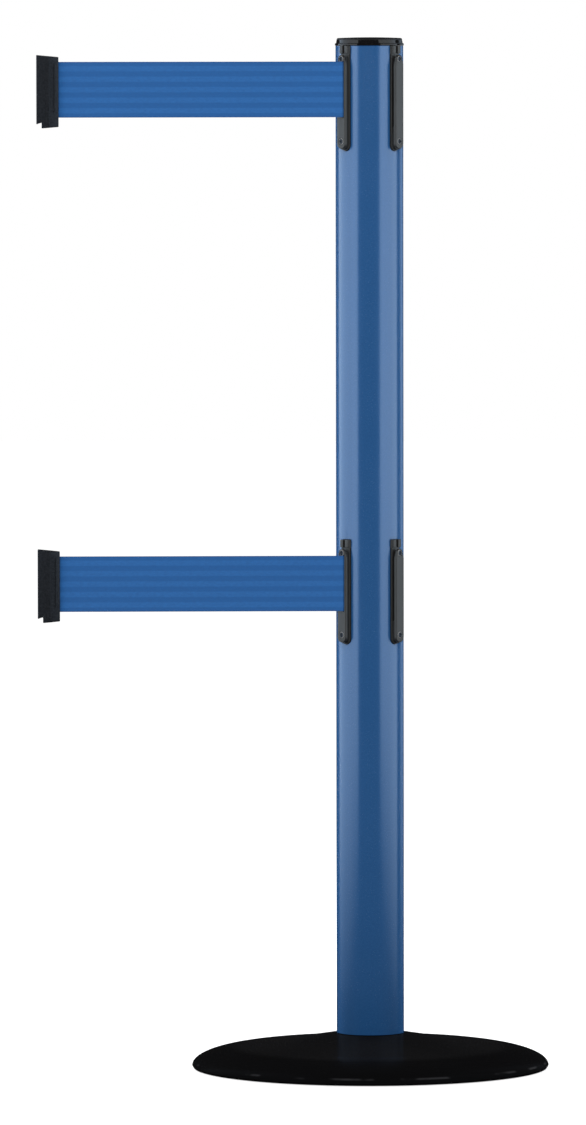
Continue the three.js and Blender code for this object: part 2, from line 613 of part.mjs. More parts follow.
// The moulding on the belt's end, about the belt's centre line: a body that holds the belt's loop,
// and a jaw open at the bottom that slides down over another stanchion's rail.
function makeTapeEnd() {
  const plan = new THREE.Shape([
    new THREE.Vector2(TAPE_END_FAR, -TAPE_END_HALF_DEPTH),
    new THREE.Vector2(TAPE_END_SHOULDER, -TAPE_END_HALF_DEPTH),
    new THREE.Vector2(TAPE_END_NEAR, -TAPE_END_NEAR_HALF_DEPTH),
    new THREE.Vector2(TAPE_END_NEAR, TAPE_END_NEAR_HALF_DEPTH),
    new THREE.Vector2(TAPE_END_SHOULDER, TAPE_END_HALF_DEPTH),
    new THREE.Vector2(TAPE_END_FAR, TAPE_END_HALF_DEPTH),
  ]);
  const side = new THREE.Shape([
    new THREE.Vector2(TAPE_END_FAR, TAPE_END_JAW_BOTTOM),
    new THREE.Vector2(TAPE_END_STEP, TAPE_END_JAW_BOTTOM),
    new THREE.Vector2(TAPE_END_STEP, TAPE_END_BOTTOM_FAR),
    new THREE.Vector2(TAPE_END_NEAR, TAPE_END_BOTTOM_NEAR),
    new THREE.Vector2(TAPE_END_NEAR, TAPE_END_TOP_NEAR),
    new THREE.Vector2(TAPE_END_FAR, TAPE_END_TOP_FAR),
  ]);
  const depth = 4 * TAPE_END_HALF_DEPTH;
  const sideGeometry = new THREE.ExtrudeGeometry(side, { depth, bevelEnabled: false });
  const sidePlate = solidFrom(sideGeometry.translate(0, 0, -depth / 2).rotateX(QUARTER_TURN));
  const height = 2 * -TAPE_END_BOTTOM_FAR;
  const beltHalf = BELT_WIDTH / 2 + GAP;
  const jawCavity = block(
    [TAPE_END_FAR + JAW_LIP, TAPE_END_STEP + 0.5], [-JAW_HALF_WIDTH, JAW_HALF_WIDTH], [-height, JAW_TOP]);
  const jawMouth = block(
    [TAPE_END_FAR - 1, TAPE_END_FAR + JAW_LIP + 1], [-JAW_HALF_MOUTH, JAW_HALF_MOUTH], [-height, JAW_TOP]);
  const loopHole = cylinder(
    LOOP_RADIUS + BELT_THICKNESS / 2 + GAP, -height, PIN_TOP + GAP, MEDIUM_SIDES / 2,
    PIN_X, LOOP_RADIUS);
  const beltSlot = block(
    [PIN_X, TAPE_END_NEAR + 1], [-BELT_THICKNESS / 2 - GAP, BELT_THICKNESS / 2 + GAP],
    [-beltHalf, beltHalf]);
  return uprightPlate(plan, -height, height).intersect(sidePlate)
    .subtract(jawCavity).subtract(jawMouth).subtract(loopHole).subtract(beltSlot);
}

function addBelt(head, level) {
  const tapeEnd = new THREE.Group();
  tapeEnd.position.set(0, BELT_Y, BELT_CENTRE);
  const pin = cylinder(PIN_RADIUS, PIN_BOTTOM, PIN_TOP, SMALL_SIDES, PIN_X, LOOP_RADIUS);
  tapeEnd.add(
    piece(`${level}_tape_end`, makeTapeEnd(), MATERIALS.blackPlastic),
    piece(`${level}_belt_pin`, pin, MATERIALS.steel),
  );
  const beltBottom = BELT_CENTRE - BELT_WIDTH / 2;
  const strip = uprightPlate(stripShape(beltLine(), BELT_THICKNESS), beltBottom, beltBottom + BELT_WIDTH);
  head.add(tapeEnd, piece(`${level}_belt`, strip, MATERIALS.blueWebbing));
}

// ---- Whole stanchion ----

const stanchion = new THREE.Group();
addBase(stanchion);
addPost(stanchion);
for (const [level, bottom] of Object.entries(HEAD_BOTTOMS)) {
  const head = new THREE.Group();
  head.position.z = bottom;
  addInserts(head, level);
  addCassette(head, level);
  addBelt(head, level);
  stanchion.add(head);
}

export default stanchion;
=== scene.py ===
import math

import bmesh
import bpy
from mathutils import Matrix, Vector


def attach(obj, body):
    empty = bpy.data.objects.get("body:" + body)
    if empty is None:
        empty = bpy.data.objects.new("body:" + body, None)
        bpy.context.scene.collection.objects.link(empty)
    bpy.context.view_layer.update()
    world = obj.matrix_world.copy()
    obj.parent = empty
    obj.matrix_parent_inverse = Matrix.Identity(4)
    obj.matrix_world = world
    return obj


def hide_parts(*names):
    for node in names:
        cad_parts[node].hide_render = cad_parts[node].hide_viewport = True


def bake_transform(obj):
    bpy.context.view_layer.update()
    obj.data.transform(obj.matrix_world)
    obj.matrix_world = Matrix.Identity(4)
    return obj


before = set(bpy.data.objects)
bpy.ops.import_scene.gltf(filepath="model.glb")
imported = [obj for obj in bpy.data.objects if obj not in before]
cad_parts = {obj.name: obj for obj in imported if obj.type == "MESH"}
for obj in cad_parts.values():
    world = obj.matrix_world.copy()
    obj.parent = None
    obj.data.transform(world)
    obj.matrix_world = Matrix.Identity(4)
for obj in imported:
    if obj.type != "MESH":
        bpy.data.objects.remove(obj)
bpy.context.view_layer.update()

# ---- Base weight ----
# A disc of cast iron, domed like the cover that lies on it, with a boss for the post and a
# counterbore for the bolt's head. It is turned where it meets other pieces and rough elsewhere.

MM = 0.001
QUARTER_TURN = math.pi / 2
ROUND_SIDES = 224
SMOOTHED_BELOW = math.radians(32)
GAP = 0.3
BASE_RADIUS = 168
HUB_RADIUS = 34
HUB_TOP = 33.3
SHOULDER_RADIUS = 105
SHOULDER_TOP = 21.3
RIM_HEIGHT = 3.1
RIM_STEPS = 28
COVER_THICKNESS = 1.5
COVER_HOLE_RADIUS = 22
WEIGHT_BOTTOM = 3
COUNTERBORE_RADIUS = 17
COUNTERBORE_TOP = 12.6
BOLT_BORE = 6.3
IRON_DARK = (0.030, 0.030, 0.032, 1)
IRON_LIGHT = (0.075, 0.072, 0.068, 1)


class Value:
    """A number or colour that changes over a surface: one output of a shader node."""

    def __init__(self, shading, socket):
        self.shading = shading
        self.socket = socket

    def maths(self, operation, *numbers):
        sockets = dict(enumerate(numbers))
        return self.shading.node("ShaderNodeMath", {"operation": operation}, sockets)

    def __add__(self, other):
        return self.maths("ADD", self, other)

    __radd__ = __add__

    def __sub__(self, other):
        return self.maths("SUBTRACT", self, other)

    def __rsub__(self, other):
        return self.maths("SUBTRACT", other, self)

    def __mul__(self, other):
        return self.maths("MULTIPLY", self, other)

    __rmul__ = __mul__

    def __pow__(self, power):
        return self.maths("POWER", self, power)

    def __abs__(self):
        return self.maths("ABSOLUTE", self)

    def sine(self):
        return self.maths("SINE", self)


class Shading:
    """The shader of a material, a lamp or the world, and the nodes that vary what it is given."""

    def __init__(self, owner, shader):
        owner.use_nodes = True
        self.tree = owner.node_tree
        self.shader = self.tree.nodes[shader]

    def feed(self, socket, value):
        if isinstance(value, Value):
            self.tree.links.new(value.socket, socket)
        else:
            socket.default_value = value

    def node(self, kind, settings=None, sockets=None, output=0):
        made = self.tree.nodes.new(kind)
        for setting, value in (settings or {}).items():
            setattr(made, setting, value)
        for socket, value in (sockets or {}).items():
            self.feed(made.inputs[socket], value)
        return Value(self, made.outputs[output])

    def set(self, socket, value):
        self.feed(self.shader.inputs[socket], value)

    def step(self, value, low, high):
        """0 below low, 1 above high, and a smooth rise between them."""
        sockets = {"Value": value, "From Min": low, "From Max": high}
        return self.node("ShaderNodeMapRange", {"interpolation_type": "SMOOTHSTEP"}, sockets)


class Finish(Shading):
    """A material, with its colour, gloss and relief worked out in millimetres."""

    def __init__(self, name, constants):
        self.material = bpy.data.materials.new(name)
        super().__init__(self.material, "Principled BSDF")
        for socket, value in constants.items():
            self.set(socket, value)

    def place(self):
        return self.node("ShaderNodeTexCoord", output="Object")

    def axes(self):
        """Three values: how far along X, Y and Z, in millimetres."""
        scale = {"operation": "SCALE"}
        millimetres = self.node("ShaderNodeVectorMath", scale, {0: self.place(), "Scale": 1 / MM})
        return [
            self.node("ShaderNodeSeparateXYZ", sockets={0: millimetres}, output=axis)
            for axis in ("X", "Y", "Z")
        ]

    def noise(self, grain, detail=2.0, stretch=(1, 1, 1)):
        """Soft patches about grain millimetres across, drawn out along an axis by stretch."""
        product = {"operation": "MULTIPLY"}
        shrink = tuple(1 / share for share in stretch)
        where = self.node("ShaderNodeVectorMath", product, {0: self.place(), 1: shrink})
        sockets = {"Vector": where, "Scale": 1 / (grain * MM), "Detail": detail}
        return self.node("ShaderNodeTexNoise", sockets=sockets)

    def mix(self, share, first, second):
        """A colour that goes from first to second as share goes from 0 to 1."""
        sockets = {0: share, 6: first, 7: second}
        return self.node("ShaderNodeMix", {"data_type": "RGBA"}, sockets, output=2)

    def show(self, colour, roughness, relief):
        """Sets the colour and the roughness, and raises the surface by relief in millimetres."""
        self.set("Base Color", colour)
        self.set("Roughness", roughness)
        bump = self.node("ShaderNodeBump", sockets={"Height": relief, "Distance": MM})
        self.set("Normal", bump)


def solid(name, shell):
    """An object from a closed bmesh, with its faces turned outwards."""
    bmesh.ops.recalc_face_normals(shell, faces=shell.faces)
    mesh = bpy.data.meshes.new(name)
    shell.to_mesh(mesh)
    shell.free()
    made = bpy.data.objects.new(name, mesh)
    bpy.context.scene.collection.objects.link(made)
    return made


def bridge(shell, rings, closed):
    """Faces between rings of vertices, each ring joined to the next."""
    following = rings[1:] + rings[:1] if closed else rings[1:]
    for lower, upper in zip(rings, following):
        for i in range(len(lower)):
            corners = dict.fromkeys([lower[i - 1], lower[i], upper[i], upper[i - 1]])
            if len(corners) > 2:
                shell.faces.new(list(corners))


def circle(radius, x=0.0, y=0.0, sides=48):
    angles = [2 * math.pi * i / sides for i in range(sides)]
    return [Vector((x + radius * math.cos(a), y + radius * math.sin(a))) for a in angles]


def turned(name, outline, sides=ROUND_SIDES):
    """A closed outline of (radius, height), in millimetres, turned about Z."""
    shell = bmesh.new()
    rings = []
    for radius, height in outline:
        if radius == 0:
            rings.append([shell.verts.new((0, 0, height * MM))] * sides)
            continue
        around = circle(radius * MM, sides=sides)
        rings.append([shell.verts.new((x, y, height * MM)) for x, y in around])
    bridge(shell, rings, closed=True)
    return solid(name, shell)


def rounded(corners, steps=5):
    """The outline through corners of (x, y, radius), with an arc of that radius at each."""
    points = []
    for i, (x, y, radius) in enumerate(corners):
        corner = Vector((x, y))
        if radius == 0:
            points.append(corner)
            continue
        back = (Vector(corners[i - 1][:2]) - corner).normalized()
        ahead = (Vector(corners[(i + 1) % len(corners)][:2]) - corner).normalized()
        half = back.angle(ahead) / 2
        reach = radius / math.tan(half)
        centre = corner + (back + ahead).normalized() * radius / math.sin(half)
        first = (corner + back * reach - centre) / radius
        last = (corner + ahead * reach - centre) / radius
        points += [centre + first.slerp(last, k / steps) * radius for k in range(steps + 1)]
    return points


def coat(piece, finish):
    """Gives a piece its material, and smooths the shading between its shallow faces."""
    piece.data.materials.clear()
    piece.data.materials.append(finish.material)
    piece.data.shade_smooth()
    piece.data.set_sharp_from_angle(angle=SMOOTHED_BELOW)


def stand_in(piece, finish, node, body="post"):
    """Finishes a piece and puts it in the place of the CAD node that it stands for."""
    coat(piece, finish)
    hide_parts(node)
    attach(piece, body)


def quarter_turn(steps):
    """The angles from 0 to a quarter turn."""
    return [QUARTER_TURN * i / steps for i in range(steps + 1)]


def dome(depth):
    """The top of the base from the hub out to the rim, at a depth below its outside."""
    across = BASE_RADIUS - SHOULDER_RADIUS - depth
    drop = SHOULDER_TOP - depth - RIM_HEIGHT
    return [(COVER_HOLE_RADIUS, HUB_TOP - depth), (HUB_RADIUS, HUB_TOP - depth)] + [
        (SHOULDER_RADIUS + across * math.sin(a), RIM_HEIGHT + drop * math.cos(a))
        for a in quarter_turn(RIM_STEPS)
    ]


cast_iron = Finish("rough cast iron", {"Metallic": 0.55})
iron_patches = cast_iron.noise(6, detail=4)
iron_grain = cast_iron.noise(0.9, detail=5)
cast_iron.show(
    colour=cast_iron.mix(iron_patches, IRON_DARK, IRON_LIGHT),
    roughness=0.55 + 0.3 * iron_grain,
    relief=0.16 * iron_grain + 0.1 * iron_patches,
)

weight_top = dome(COVER_THICKNESS + GAP)[1:-1]
boss_radius = COVER_HOLE_RADIUS - GAP
weight = turned("cast_weight", [
    (BOLT_BORE, HUB_TOP),
    (boss_radius, HUB_TOP),
    (boss_radius, HUB_TOP - COVER_THICKNESS - GAP),
    *weight_top,
    (weight_top[-1][0], WEIGHT_BOTTOM),
    (COUNTERBORE_RADIUS, WEIGHT_BOTTOM),
    (COUNTERBORE_RADIUS, COUNTERBORE_TOP),
    (BOLT_BORE, COUNTERBORE_TOP),
])
stand_in(weight, cast_iron, "base_weight")

# ---- Base cover ----
# A spun steel dome over the weight, with its edge curled under. It is stove-enamelled gloss
# black: flat on the hub, a shallow cone out to a shoulder, then rounded down to the floor.

COVER_BOTTOM = 0.8
COVER_LIP = 3.5
COVER_SIDES = 288
RIM_HIGHLIGHT_BOTTOM = 5.4
RIM_HIGHLIGHT_TOP = 8
RIM_HIGHLIGHT_START = 150
RIM_HIGHLIGHT_END = 155
ENAMEL_BLACK = (0.0036, 0.0036, 0.0039, 1)
ENAMEL_PAINTED_SHEEN = (0.0062, 0.0062, 0.0066, 1)
ENAMEL_PAINTED_HIGHLIGHT = (0.022, 0.022, 0.024, 1)
SHEEN_FADE_START = 118
SHEEN_FADE_END = 136
ENAMEL_DUST = (0.0120, 0.0120, 0.0130, 1)

enamel = Finish("gloss black enamel", {"IOR": 1.02})
dust = enamel.step(enamel.noise(1.4, detail=4), 0.66, 0.74)
ripple = enamel.noise(7, detail=1)
rub = enamel.noise(26, detail=3)
across, along, up = enamel.axes()
from_axis = (across * across + along * along) ** 0.5
# Painted sheen: the enamel is painted paler on the cone inside the shoulder, where light from above
# shows as a sheen.
painted_sheen = enamel.step(from_axis, SHEEN_FADE_END, SHEEN_FADE_START)
# Painted highlight: broken pale streaks along a narrow band low on the rolled rim, where it would catch
# the lights.
highlight_patches = enamel.step(enamel.noise(30, detail=2), 0.47, 0.60)
above = enamel.step(up, RIM_HIGHLIGHT_BOTTOM, RIM_HIGHLIGHT_BOTTOM + 1)
below = enamel.step(up, RIM_HIGHLIGHT_TOP, RIM_HIGHLIGHT_TOP - 1)
painted_highlight_line = above * below * enamel.step(from_axis, RIM_HIGHLIGHT_START, RIM_HIGHLIGHT_END)
sheened = enamel.mix(painted_sheen, ENAMEL_BLACK, ENAMEL_PAINTED_SHEEN)
dusty = enamel.mix(dust * 0.5, sheened, ENAMEL_DUST)
enamel.show(
    colour=enamel.mix(painted_highlight_line * highlight_patches, dusty, ENAMEL_PAINTED_HIGHLIGHT),
    roughness=0.20 + 0.10 * rub + 0.25 * dust,
    relief=0.010 * ripple,
)

cover = turned("spun_cover", [
    *dome(0),
    (BASE_RADIUS - COVER_THICKNESS, COVER_BOTTOM),
    (BASE_RADIUS - COVER_LIP, COVER_BOTTOM),
    *reversed(dome(COVER_THICKNESS)),
], sides=COVER_SIDES)
stand_in(cover, enamel, "base_cover")

# ---- Floor ring and bolt plug ----
# Black rubber. The ring is bonded under the weight to spare the floor and to grip it. The plug
# presses into the counterbore and hides the bolt's head.

RING_MIDDLE = 148
RING_HALF_WIDTH = 10
RING_TOP = WEIGHT_BOTTOM - GAP
PLUG_TOP = 3.3
RUBBER_EDGE = 0.8
SMALL_SIDES = 96
RUBBER_BLACK = (0.008, 0.008, 0.009, 1)
RUBBER_BLOOM = (0.022, 0.022, 0.023, 1)

rubber = Finish("moulded black rubber", {"IOR": 1.45})
bloom = rubber.noise(9, detail=4)
rubber_grain = rubber.noise(0.5, detail=3)
rubber.show(
    colour=rubber.mix(bloom, RUBBER_BLACK, RUBBER_BLOOM),
    roughness=0.7 + 0.2 * rubber_grain,
    relief=0.05 * rubber_grain,
)

floor_ring = turned("rubber_ring", rounded([
    (RING_MIDDLE - RING_HALF_WIDTH, 0, RUBBER_EDGE),
    (RING_MIDDLE + RING_HALF_WIDTH, 0, RUBBER_EDGE),
    (RING_MIDDLE + RING_HALF_WIDTH, RING_TOP, 0.3),
    (RING_MIDDLE - RING_HALF_WIDTH, RING_TOP, 0.3),
]))
plug_radius = COUNTERBORE_RADIUS - GAP
bolt_plug = turned("rubber_plug", rounded([
    (0, 0, 0), (plug_radius, 0, RUBBER_EDGE), (plug_radius, PLUG_TOP, 0.3), (0, PLUG_TOP, 0),
]), sides=SMALL_SIDES)
stand_in(floor_ring, rubber, "floor_ring")
stand_in(bolt_plug, rubber, "bolt_plug")

# ---- Bolt and washer ----
# Bright zinc-plated steel. One M12 hexagon bolt goes up through the washer, the weight and its
# boss into the foot of the post, and draws the whole base together.

BOLT_RADIUS = 6
BOLT_HEAD_RADIUS = 10.5
BOLT_HEAD_BOTTOM = 3.6
BOLT_HEAD_TOP = 10
BOLT_TOP = 60
BOLT_OVERLAP = 1
BOLT_CHAMFER_WIDTH = 1.6
BOLT_CHAMFER_HEIGHT = 1
BOLT_SIDES = 64
THREAD_START = 30
THREAD_PITCH = 1.75
THREAD_DEPTH = 0.9
WASHER_RADIUS = 14
WASHER_BOTTOM = 10.3
WASHER_TOP = 12.3
ZINC_DULL = (0.38, 0.39, 0.40, 1)
ZINC_BRIGHT = (0.62, 0.63, 0.64, 1)


def inset(outline, distance):
    """An outline listed anticlockwise, with every side moved inwards by a distance."""
    moved = []
    for i, corner in enumerate(outline):
        back = (corner - outline[i - 1]).normalized()
        ahead = (outline[(i + 1) % len(outline)] - corner).normalized()
        back_side = Vector((-back.y, back.x))
        middle = (back_side + Vector((-ahead.y, ahead.x))).normalized()
        moved.append(corner + middle * distance / middle.dot(back_side))
    return moved


def plate(name, outline, start, end, along="X", rounding=0.0):
    """An anticlockwise outline in millimetres as a plate along an axis, rounded at its end."""
    layers = [(start, outline), (end - rounding, outline)]
    for angle in quarter_turn(3)[1:] if rounding else []:
        level = end - rounding + rounding * math.sin(angle)
        layers.append((level, inset(outline, rounding * (1 - math.cos(angle)))))
    place = {
        "X": lambda u, v, level: (level, u, v),
        "Y": lambda u, v, level: (u, level, v),
        "Z": lambda u, v, level: (u, v, level),
    }[along]
    shell = bmesh.new()
    rings = [
        [shell.verts.new(Vector(place(u, v, level)) * MM) for u, v in points]
        for level, points in layers
    ]
    bridge(shell, rings, closed=False)
    shell.faces.new(rings[0])
    shell.faces.new(rings[-1])
    return solid(name, shell)


def carve(piece, tools, operation="DIFFERENCE"):
    """Cuts a piece with others, or joins them to it. The others are used up."""
    for tool in tools:
        cut = piece.modifiers.new(tool.name, "BOOLEAN")
        cut.operation = operation
        cut.solver = "MANIFOLD"
        cut.object = tool
    bpy.context.view_layer.update()
    evaluated = piece.evaluated_get(bpy.context.evaluated_depsgraph_get())
    carved = bpy.data.meshes.new_from_object(evaluated)
    piece.modifiers.clear()
    piece.data = carved
    for tool in tools:
        bpy.data.objects.remove(tool)
    return piece


zinc = Finish("bright zinc plate", {"Metallic": 1.0})
spangle = zinc.noise(2.5, detail=3)
brushing = zinc.noise(0.4, detail=2, stretch=(1, 1, 12))
zinc.show(
    colour=zinc.mix(spangle, ZINC_DULL, ZINC_BRIGHT),
    roughness=0.24 + 0.2 * brushing,
    relief=0.012 * brushing,
)

thread = []
root_radius = BOLT_RADIUS - THREAD_DEPTH
for k in range(int((BOLT_TOP - THREAD_START) / THREAD_PITCH)):
    crest = THREAD_START + k * THREAD_PITCH
    thread += [(BOLT_RADIUS, crest), (root_radius, crest + THREAD_PITCH / 2)]
shank_bottom = BOLT_HEAD_TOP - BOLT_OVERLAP
bolt = turned("base_bolt_shank", [
    (0, shank_bottom), (BOLT_RADIUS, shank_bottom), *thread, (root_radius, BOLT_TOP), (0, BOLT_TOP),
], sides=BOLT_SIDES)
hexagon = plate("hexagon", circle(BOLT_HEAD_RADIUS, sides=6), BOLT_HEAD_BOTTOM, BOLT_HEAD_TOP, "Z")
head_form = turned("head_form", [
    (0, BOLT_HEAD_BOTTOM), (BOLT_HEAD_RADIUS - BOLT_CHAMFER_WIDTH, BOLT_HEAD_BOTTOM),
    (BOLT_HEAD_RADIUS, BOLT_HEAD_BOTTOM + BOLT_CHAMFER_HEIGHT),
    (BOLT_HEAD_RADIUS, BOLT_HEAD_TOP), (0, BOLT_HEAD_TOP),
], sides=BOLT_SIDES)
carve(hexagon, [head_form], "INTERSECT")
carve(bolt, [hexagon], "UNION")
bolt.name = "hexagon_bolt"
washer = turned("plain_washer", rounded([
    (BOLT_BORE, WASHER_BOTTOM, 0.2), (WASHER_RADIUS, WASHER_BOTTOM, 0.4),
    (WASHER_RADIUS, WASHER_TOP, 0.4), (BOLT_BORE, WASHER_TOP, 0.2),
]), sides=SMALL_SIDES)
stand_in(bolt, zinc, "base_bolt")
stand_in(washer, zinc, "base_washer")

# ---- Post tube and foot ----
# A steel tube, 63.5 across with a wall of 1.65, slotted four times round at each head and
# powder-coated blue. The turned iron foot is pressed and pinned inside and takes the bolt.

POST_RADIUS = 31.75
POST_WALL = 1.65
POST_BOTTOM = HUB_TOP + GAP
POST_TOP = 962.2
FOOT_HEIGHT = 38
FOOT_CHAMFER = 3
SLOT_CUT_START = 24
CUT_PAST = 1
ALMOST = 0.998
HEAD_BOTTOMS = {"upper": 863.8, "lower": 401.4}
OUTLET_ANGLE = -3 * math.pi / 4
FACE_ANGLES = {
    "outlet": OUTLET_ANGLE,
    "front": -math.pi / 4,
    "back": math.pi / 4,
    "side": 3 * math.pi / 4,
}
INSERT_HEIGHT = 98.4
INSERT_HALF_WIDTH = 5.2
POST_BLUE = (0.0198, 0.0955, 0.2600, 1)
POST_BLUE_DEEP = (0.0158, 0.0805, 0.2260, 1)
POST_FLECK = (0.0300, 0.1050, 0.2600, 1)


def round_footed(half_width, bottom, top, corner=0.6):
    """Seen from outside: square at the top with small corners, and a half circle at the foot."""
    foot = half_width * ALMOST
    return rounded([
        (half_width, top, corner), (-half_width, top, corner),
        (-half_width, bottom, foot), (half_width, bottom, foot),
    ], steps=12)


powder_blue = Finish("blue powder coat", {"IOR": 1.5})
tone = powder_blue.noise(45, detail=2)
peel = powder_blue.noise(1.6, detail=1)
fleck = powder_blue.step(powder_blue.noise(0.8, detail=2), 0.60, 0.72)
speckle = powder_blue.step(powder_blue.noise(1.3, detail=2), 0.3, 0.7)
base_blue = powder_blue.mix(tone * 0.5 + speckle * 0.5, POST_BLUE_DEEP, POST_BLUE)
powder_blue.show(
    colour=powder_blue.mix(fleck * 0.35, base_blue, POST_FLECK),
    roughness=0.17 + 0.06 * tone + 0.08 * fleck,
    relief=0.004 * peel,
)

tube = turned("slotted_tube", rounded([
    (POST_RADIUS - POST_WALL, POST_BOTTOM, 0.3), (POST_RADIUS, POST_BOTTOM, 0.4),
    (POST_RADIUS, POST_TOP, 0.4), (POST_RADIUS - POST_WALL, POST_TOP, 0.3),
], steps=3))
slots = []
for level, bottom in HEAD_BOTTOMS.items():
    top = POST_TOP + CUT_PAST if level == "upper" else bottom + INSERT_HEIGHT + GAP
    for angle in FACE_ANGLES.values():
        outline = round_footed(INSERT_HALF_WIDTH + GAP, bottom - GAP, top, corner=0.9)
        slot = plate("slot", outline, SLOT_CUT_START, POST_RADIUS + CUT_PAST)
        slot.matrix_world = Matrix.Rotation(angle, 4, "Z")
        slots.append(slot)
carve(tube, slots)
stand_in(tube, powder_blue, "post_tube")

foot_radius = POST_RADIUS - POST_WALL - GAP
foot_top = POST_BOTTOM + FOOT_HEIGHT
foot = turned("turned_foot", [
    (BOLT_BORE, POST_BOTTOM),
    (foot_radius, POST_BOTTOM),
    (foot_radius, foot_top - FOOT_CHAMFER),
    (foot_radius - FOOT_CHAMFER, foot_top),
    (BOLT_BORE, foot_top),
])
stand_in(foot, cast_iron, "post_foot")

# ---- Top cap ----
# A gloss black moulding that closes the tube and covers the tops of the inserts. Its plug
# presses in between them. Above a short lip it narrows to a rounded rim and a duller crown.

CAP_RADIUS = 32.25
CAP_SEAT_GAP = 0.05
CAP_BOTTOM = POST_TOP + CAP_SEAT_GAP
CAP_RIM_TOP = 967.6
CAP_CROWN_RADIUS = 29.2
CAP_RIM_RADIUS = 30.7
CAP_LIP = 1.9
CAP_LIP_EDGE = 0.4
CAP_NECK_RADIUS = 31.3
CAP_NECK_RISE = 0.3
CAP_ARC_STEPS = 8
CAP_CROWN_STEPS = 10
CAP_CROWN_EDGE = 969.3
CAP_TOP = 970
CAP_CEILING = 967
CAP_PLUG_OUTER = 24.5
CAP_PLUG_INNER = 22
CAP_PLUG_BOTTOM = 960.5
CAP_BLACK = (0.006, 0.006, 0.0065, 1)
CAP_SCUFF = (0.016, 0.016, 0.017, 1)

cap_gloss = Finish("gloss black moulding", {
    "Specular IOR Level": 0.22,
    "Specular Tint": (1, 0.79, 0.64, 1),
})
scuff = cap_gloss.step(cap_gloss.noise(2.2, detail=5), 0.58, 0.75)
flow = cap_gloss.noise(14, detail=2)
wave = cap_gloss.noise(5.5, detail=1)
_, _, up = cap_gloss.axes()
on_crown = cap_gloss.step(up, CAP_RIM_TOP - 0.4, CAP_RIM_TOP + 0.2)
cap_gloss.show(
    colour=cap_gloss.mix(scuff * 0.6, CAP_BLACK, CAP_SCUFF),
    roughness=0.07 + 0.06 * flow + 0.15 * scuff + 0.5 * on_crown,
    relief=0.22 * wave + 0.012 * flow,
)

rim_width = CAP_RIM_RADIUS - CAP_CROWN_RADIUS
rim_rise = CAP_CROWN_EDGE - CAP_RIM_TOP
rim_arc = [
    (CAP_CROWN_RADIUS + rim_width * math.cos(a), CAP_RIM_TOP + rim_rise * math.sin(a))
    for a in quarter_turn(CAP_ARC_STEPS)
]
crown_shares = [1 - i / CAP_CROWN_STEPS for i in range(1, CAP_CROWN_STEPS)]
crown = [
    (CAP_CROWN_RADIUS * share, CAP_TOP - (CAP_TOP - CAP_CROWN_EDGE) * share ** 2)
    for share in crown_shares
]
lip_top = CAP_BOTTOM + CAP_LIP
lip = rounded([
    (CAP_PLUG_OUTER, CAP_BOTTOM, 0), (CAP_RADIUS, CAP_BOTTOM, CAP_LIP_EDGE),
    (CAP_RADIUS, lip_top, CAP_LIP_EDGE), (CAP_NECK_RADIUS, lip_top + CAP_NECK_RISE, CAP_NECK_RISE),
    (CAP_RIM_RADIUS, CAP_RIM_TOP, 0),
], steps=4)
cap = turned("domed_cap", [
    *lip[:-1], *rim_arc, *crown,
    (0, CAP_TOP), (0, CAP_CEILING), (CAP_PLUG_INNER, CAP_CEILING),
    (CAP_PLUG_INNER, CAP_PLUG_BOTTOM), (CAP_PLUG_OUTER, CAP_PLUG_BOTTOM),
])
stand_in(cap, cap_gloss, "top_cap")

# ---- Belt outlets and receivers ----
# Satin charcoal mouldings set into the tube's slots, four round each head. Three are receivers
# for other stanchions' belts and the fourth lets this one's belt out by a slit along its neck.

INSERT_INNER = 26
FLANGE_FRONT = 33.5
RAIL_BACK = 36.3
RAIL_FRONT = 39
RAIL_HALF_WIDTH = 5.3
RAIL_BOTTOM = 2
RAIL_TAPER_START = 81.5
TIP_RADIUS = 3.7
TIP_DROP = 0.3
NECK_BOTTOM = 18
NECK_TOP = 87
NECK_HALF_WIDTH = 2.6
OUTLET_NECK_HALF_WIDTH = 4.5
STOP_HALF_WIDTH = 4.4
STOP_BOTTOM = 0.9
STOP_TOP = 22
STOP_PROUD = 0.05
INSERT_OVERLAP = 0.5
BROW_BOTTOM = 91
BROW_FRONT = 35.5
BROW_HALF_WIDTH = 5
BROW_SLIT_HALF_WIDTH = 1.2
SCREW_HEIGHTS = {"bottom": 9, "top": 86}
SCREW_HOLE = 1.8
HEAD_HOLE = 3.1
HEAD_HOLE_BOTTOM = 37.1
BELT_CENTRE = 57.6
SLIT_ACROSS = 2.8
SLIT_HALF_WIDTH = 0.85
SLIT_HALF_HEIGHT = 26.8
SLIT_MOUTH = 29
CHARCOAL = (0.0170, 0.0166, 0.0160, 1)
CHARCOAL_PALE = (0.0260, 0.0252, 0.0242, 1)
CHARCOAL_PAINTED_SHADE = (0.0050, 0.0048, 0.0046, 1)


def rectangle(left, right, bottom, top, radius=0.0):
    corners = ((left, bottom), (right, bottom), (right, top), (left, top))
    return rounded([(*corner, radius) for corner in corners])


def copied(form, name, matrix):
    """Another piece of the same form, put in its place by a matrix."""
    made = bpy.data.objects.new(name, form.data.copy())
    bpy.context.scene.collection.objects.link(made)
    made.matrix_world = matrix
    return made


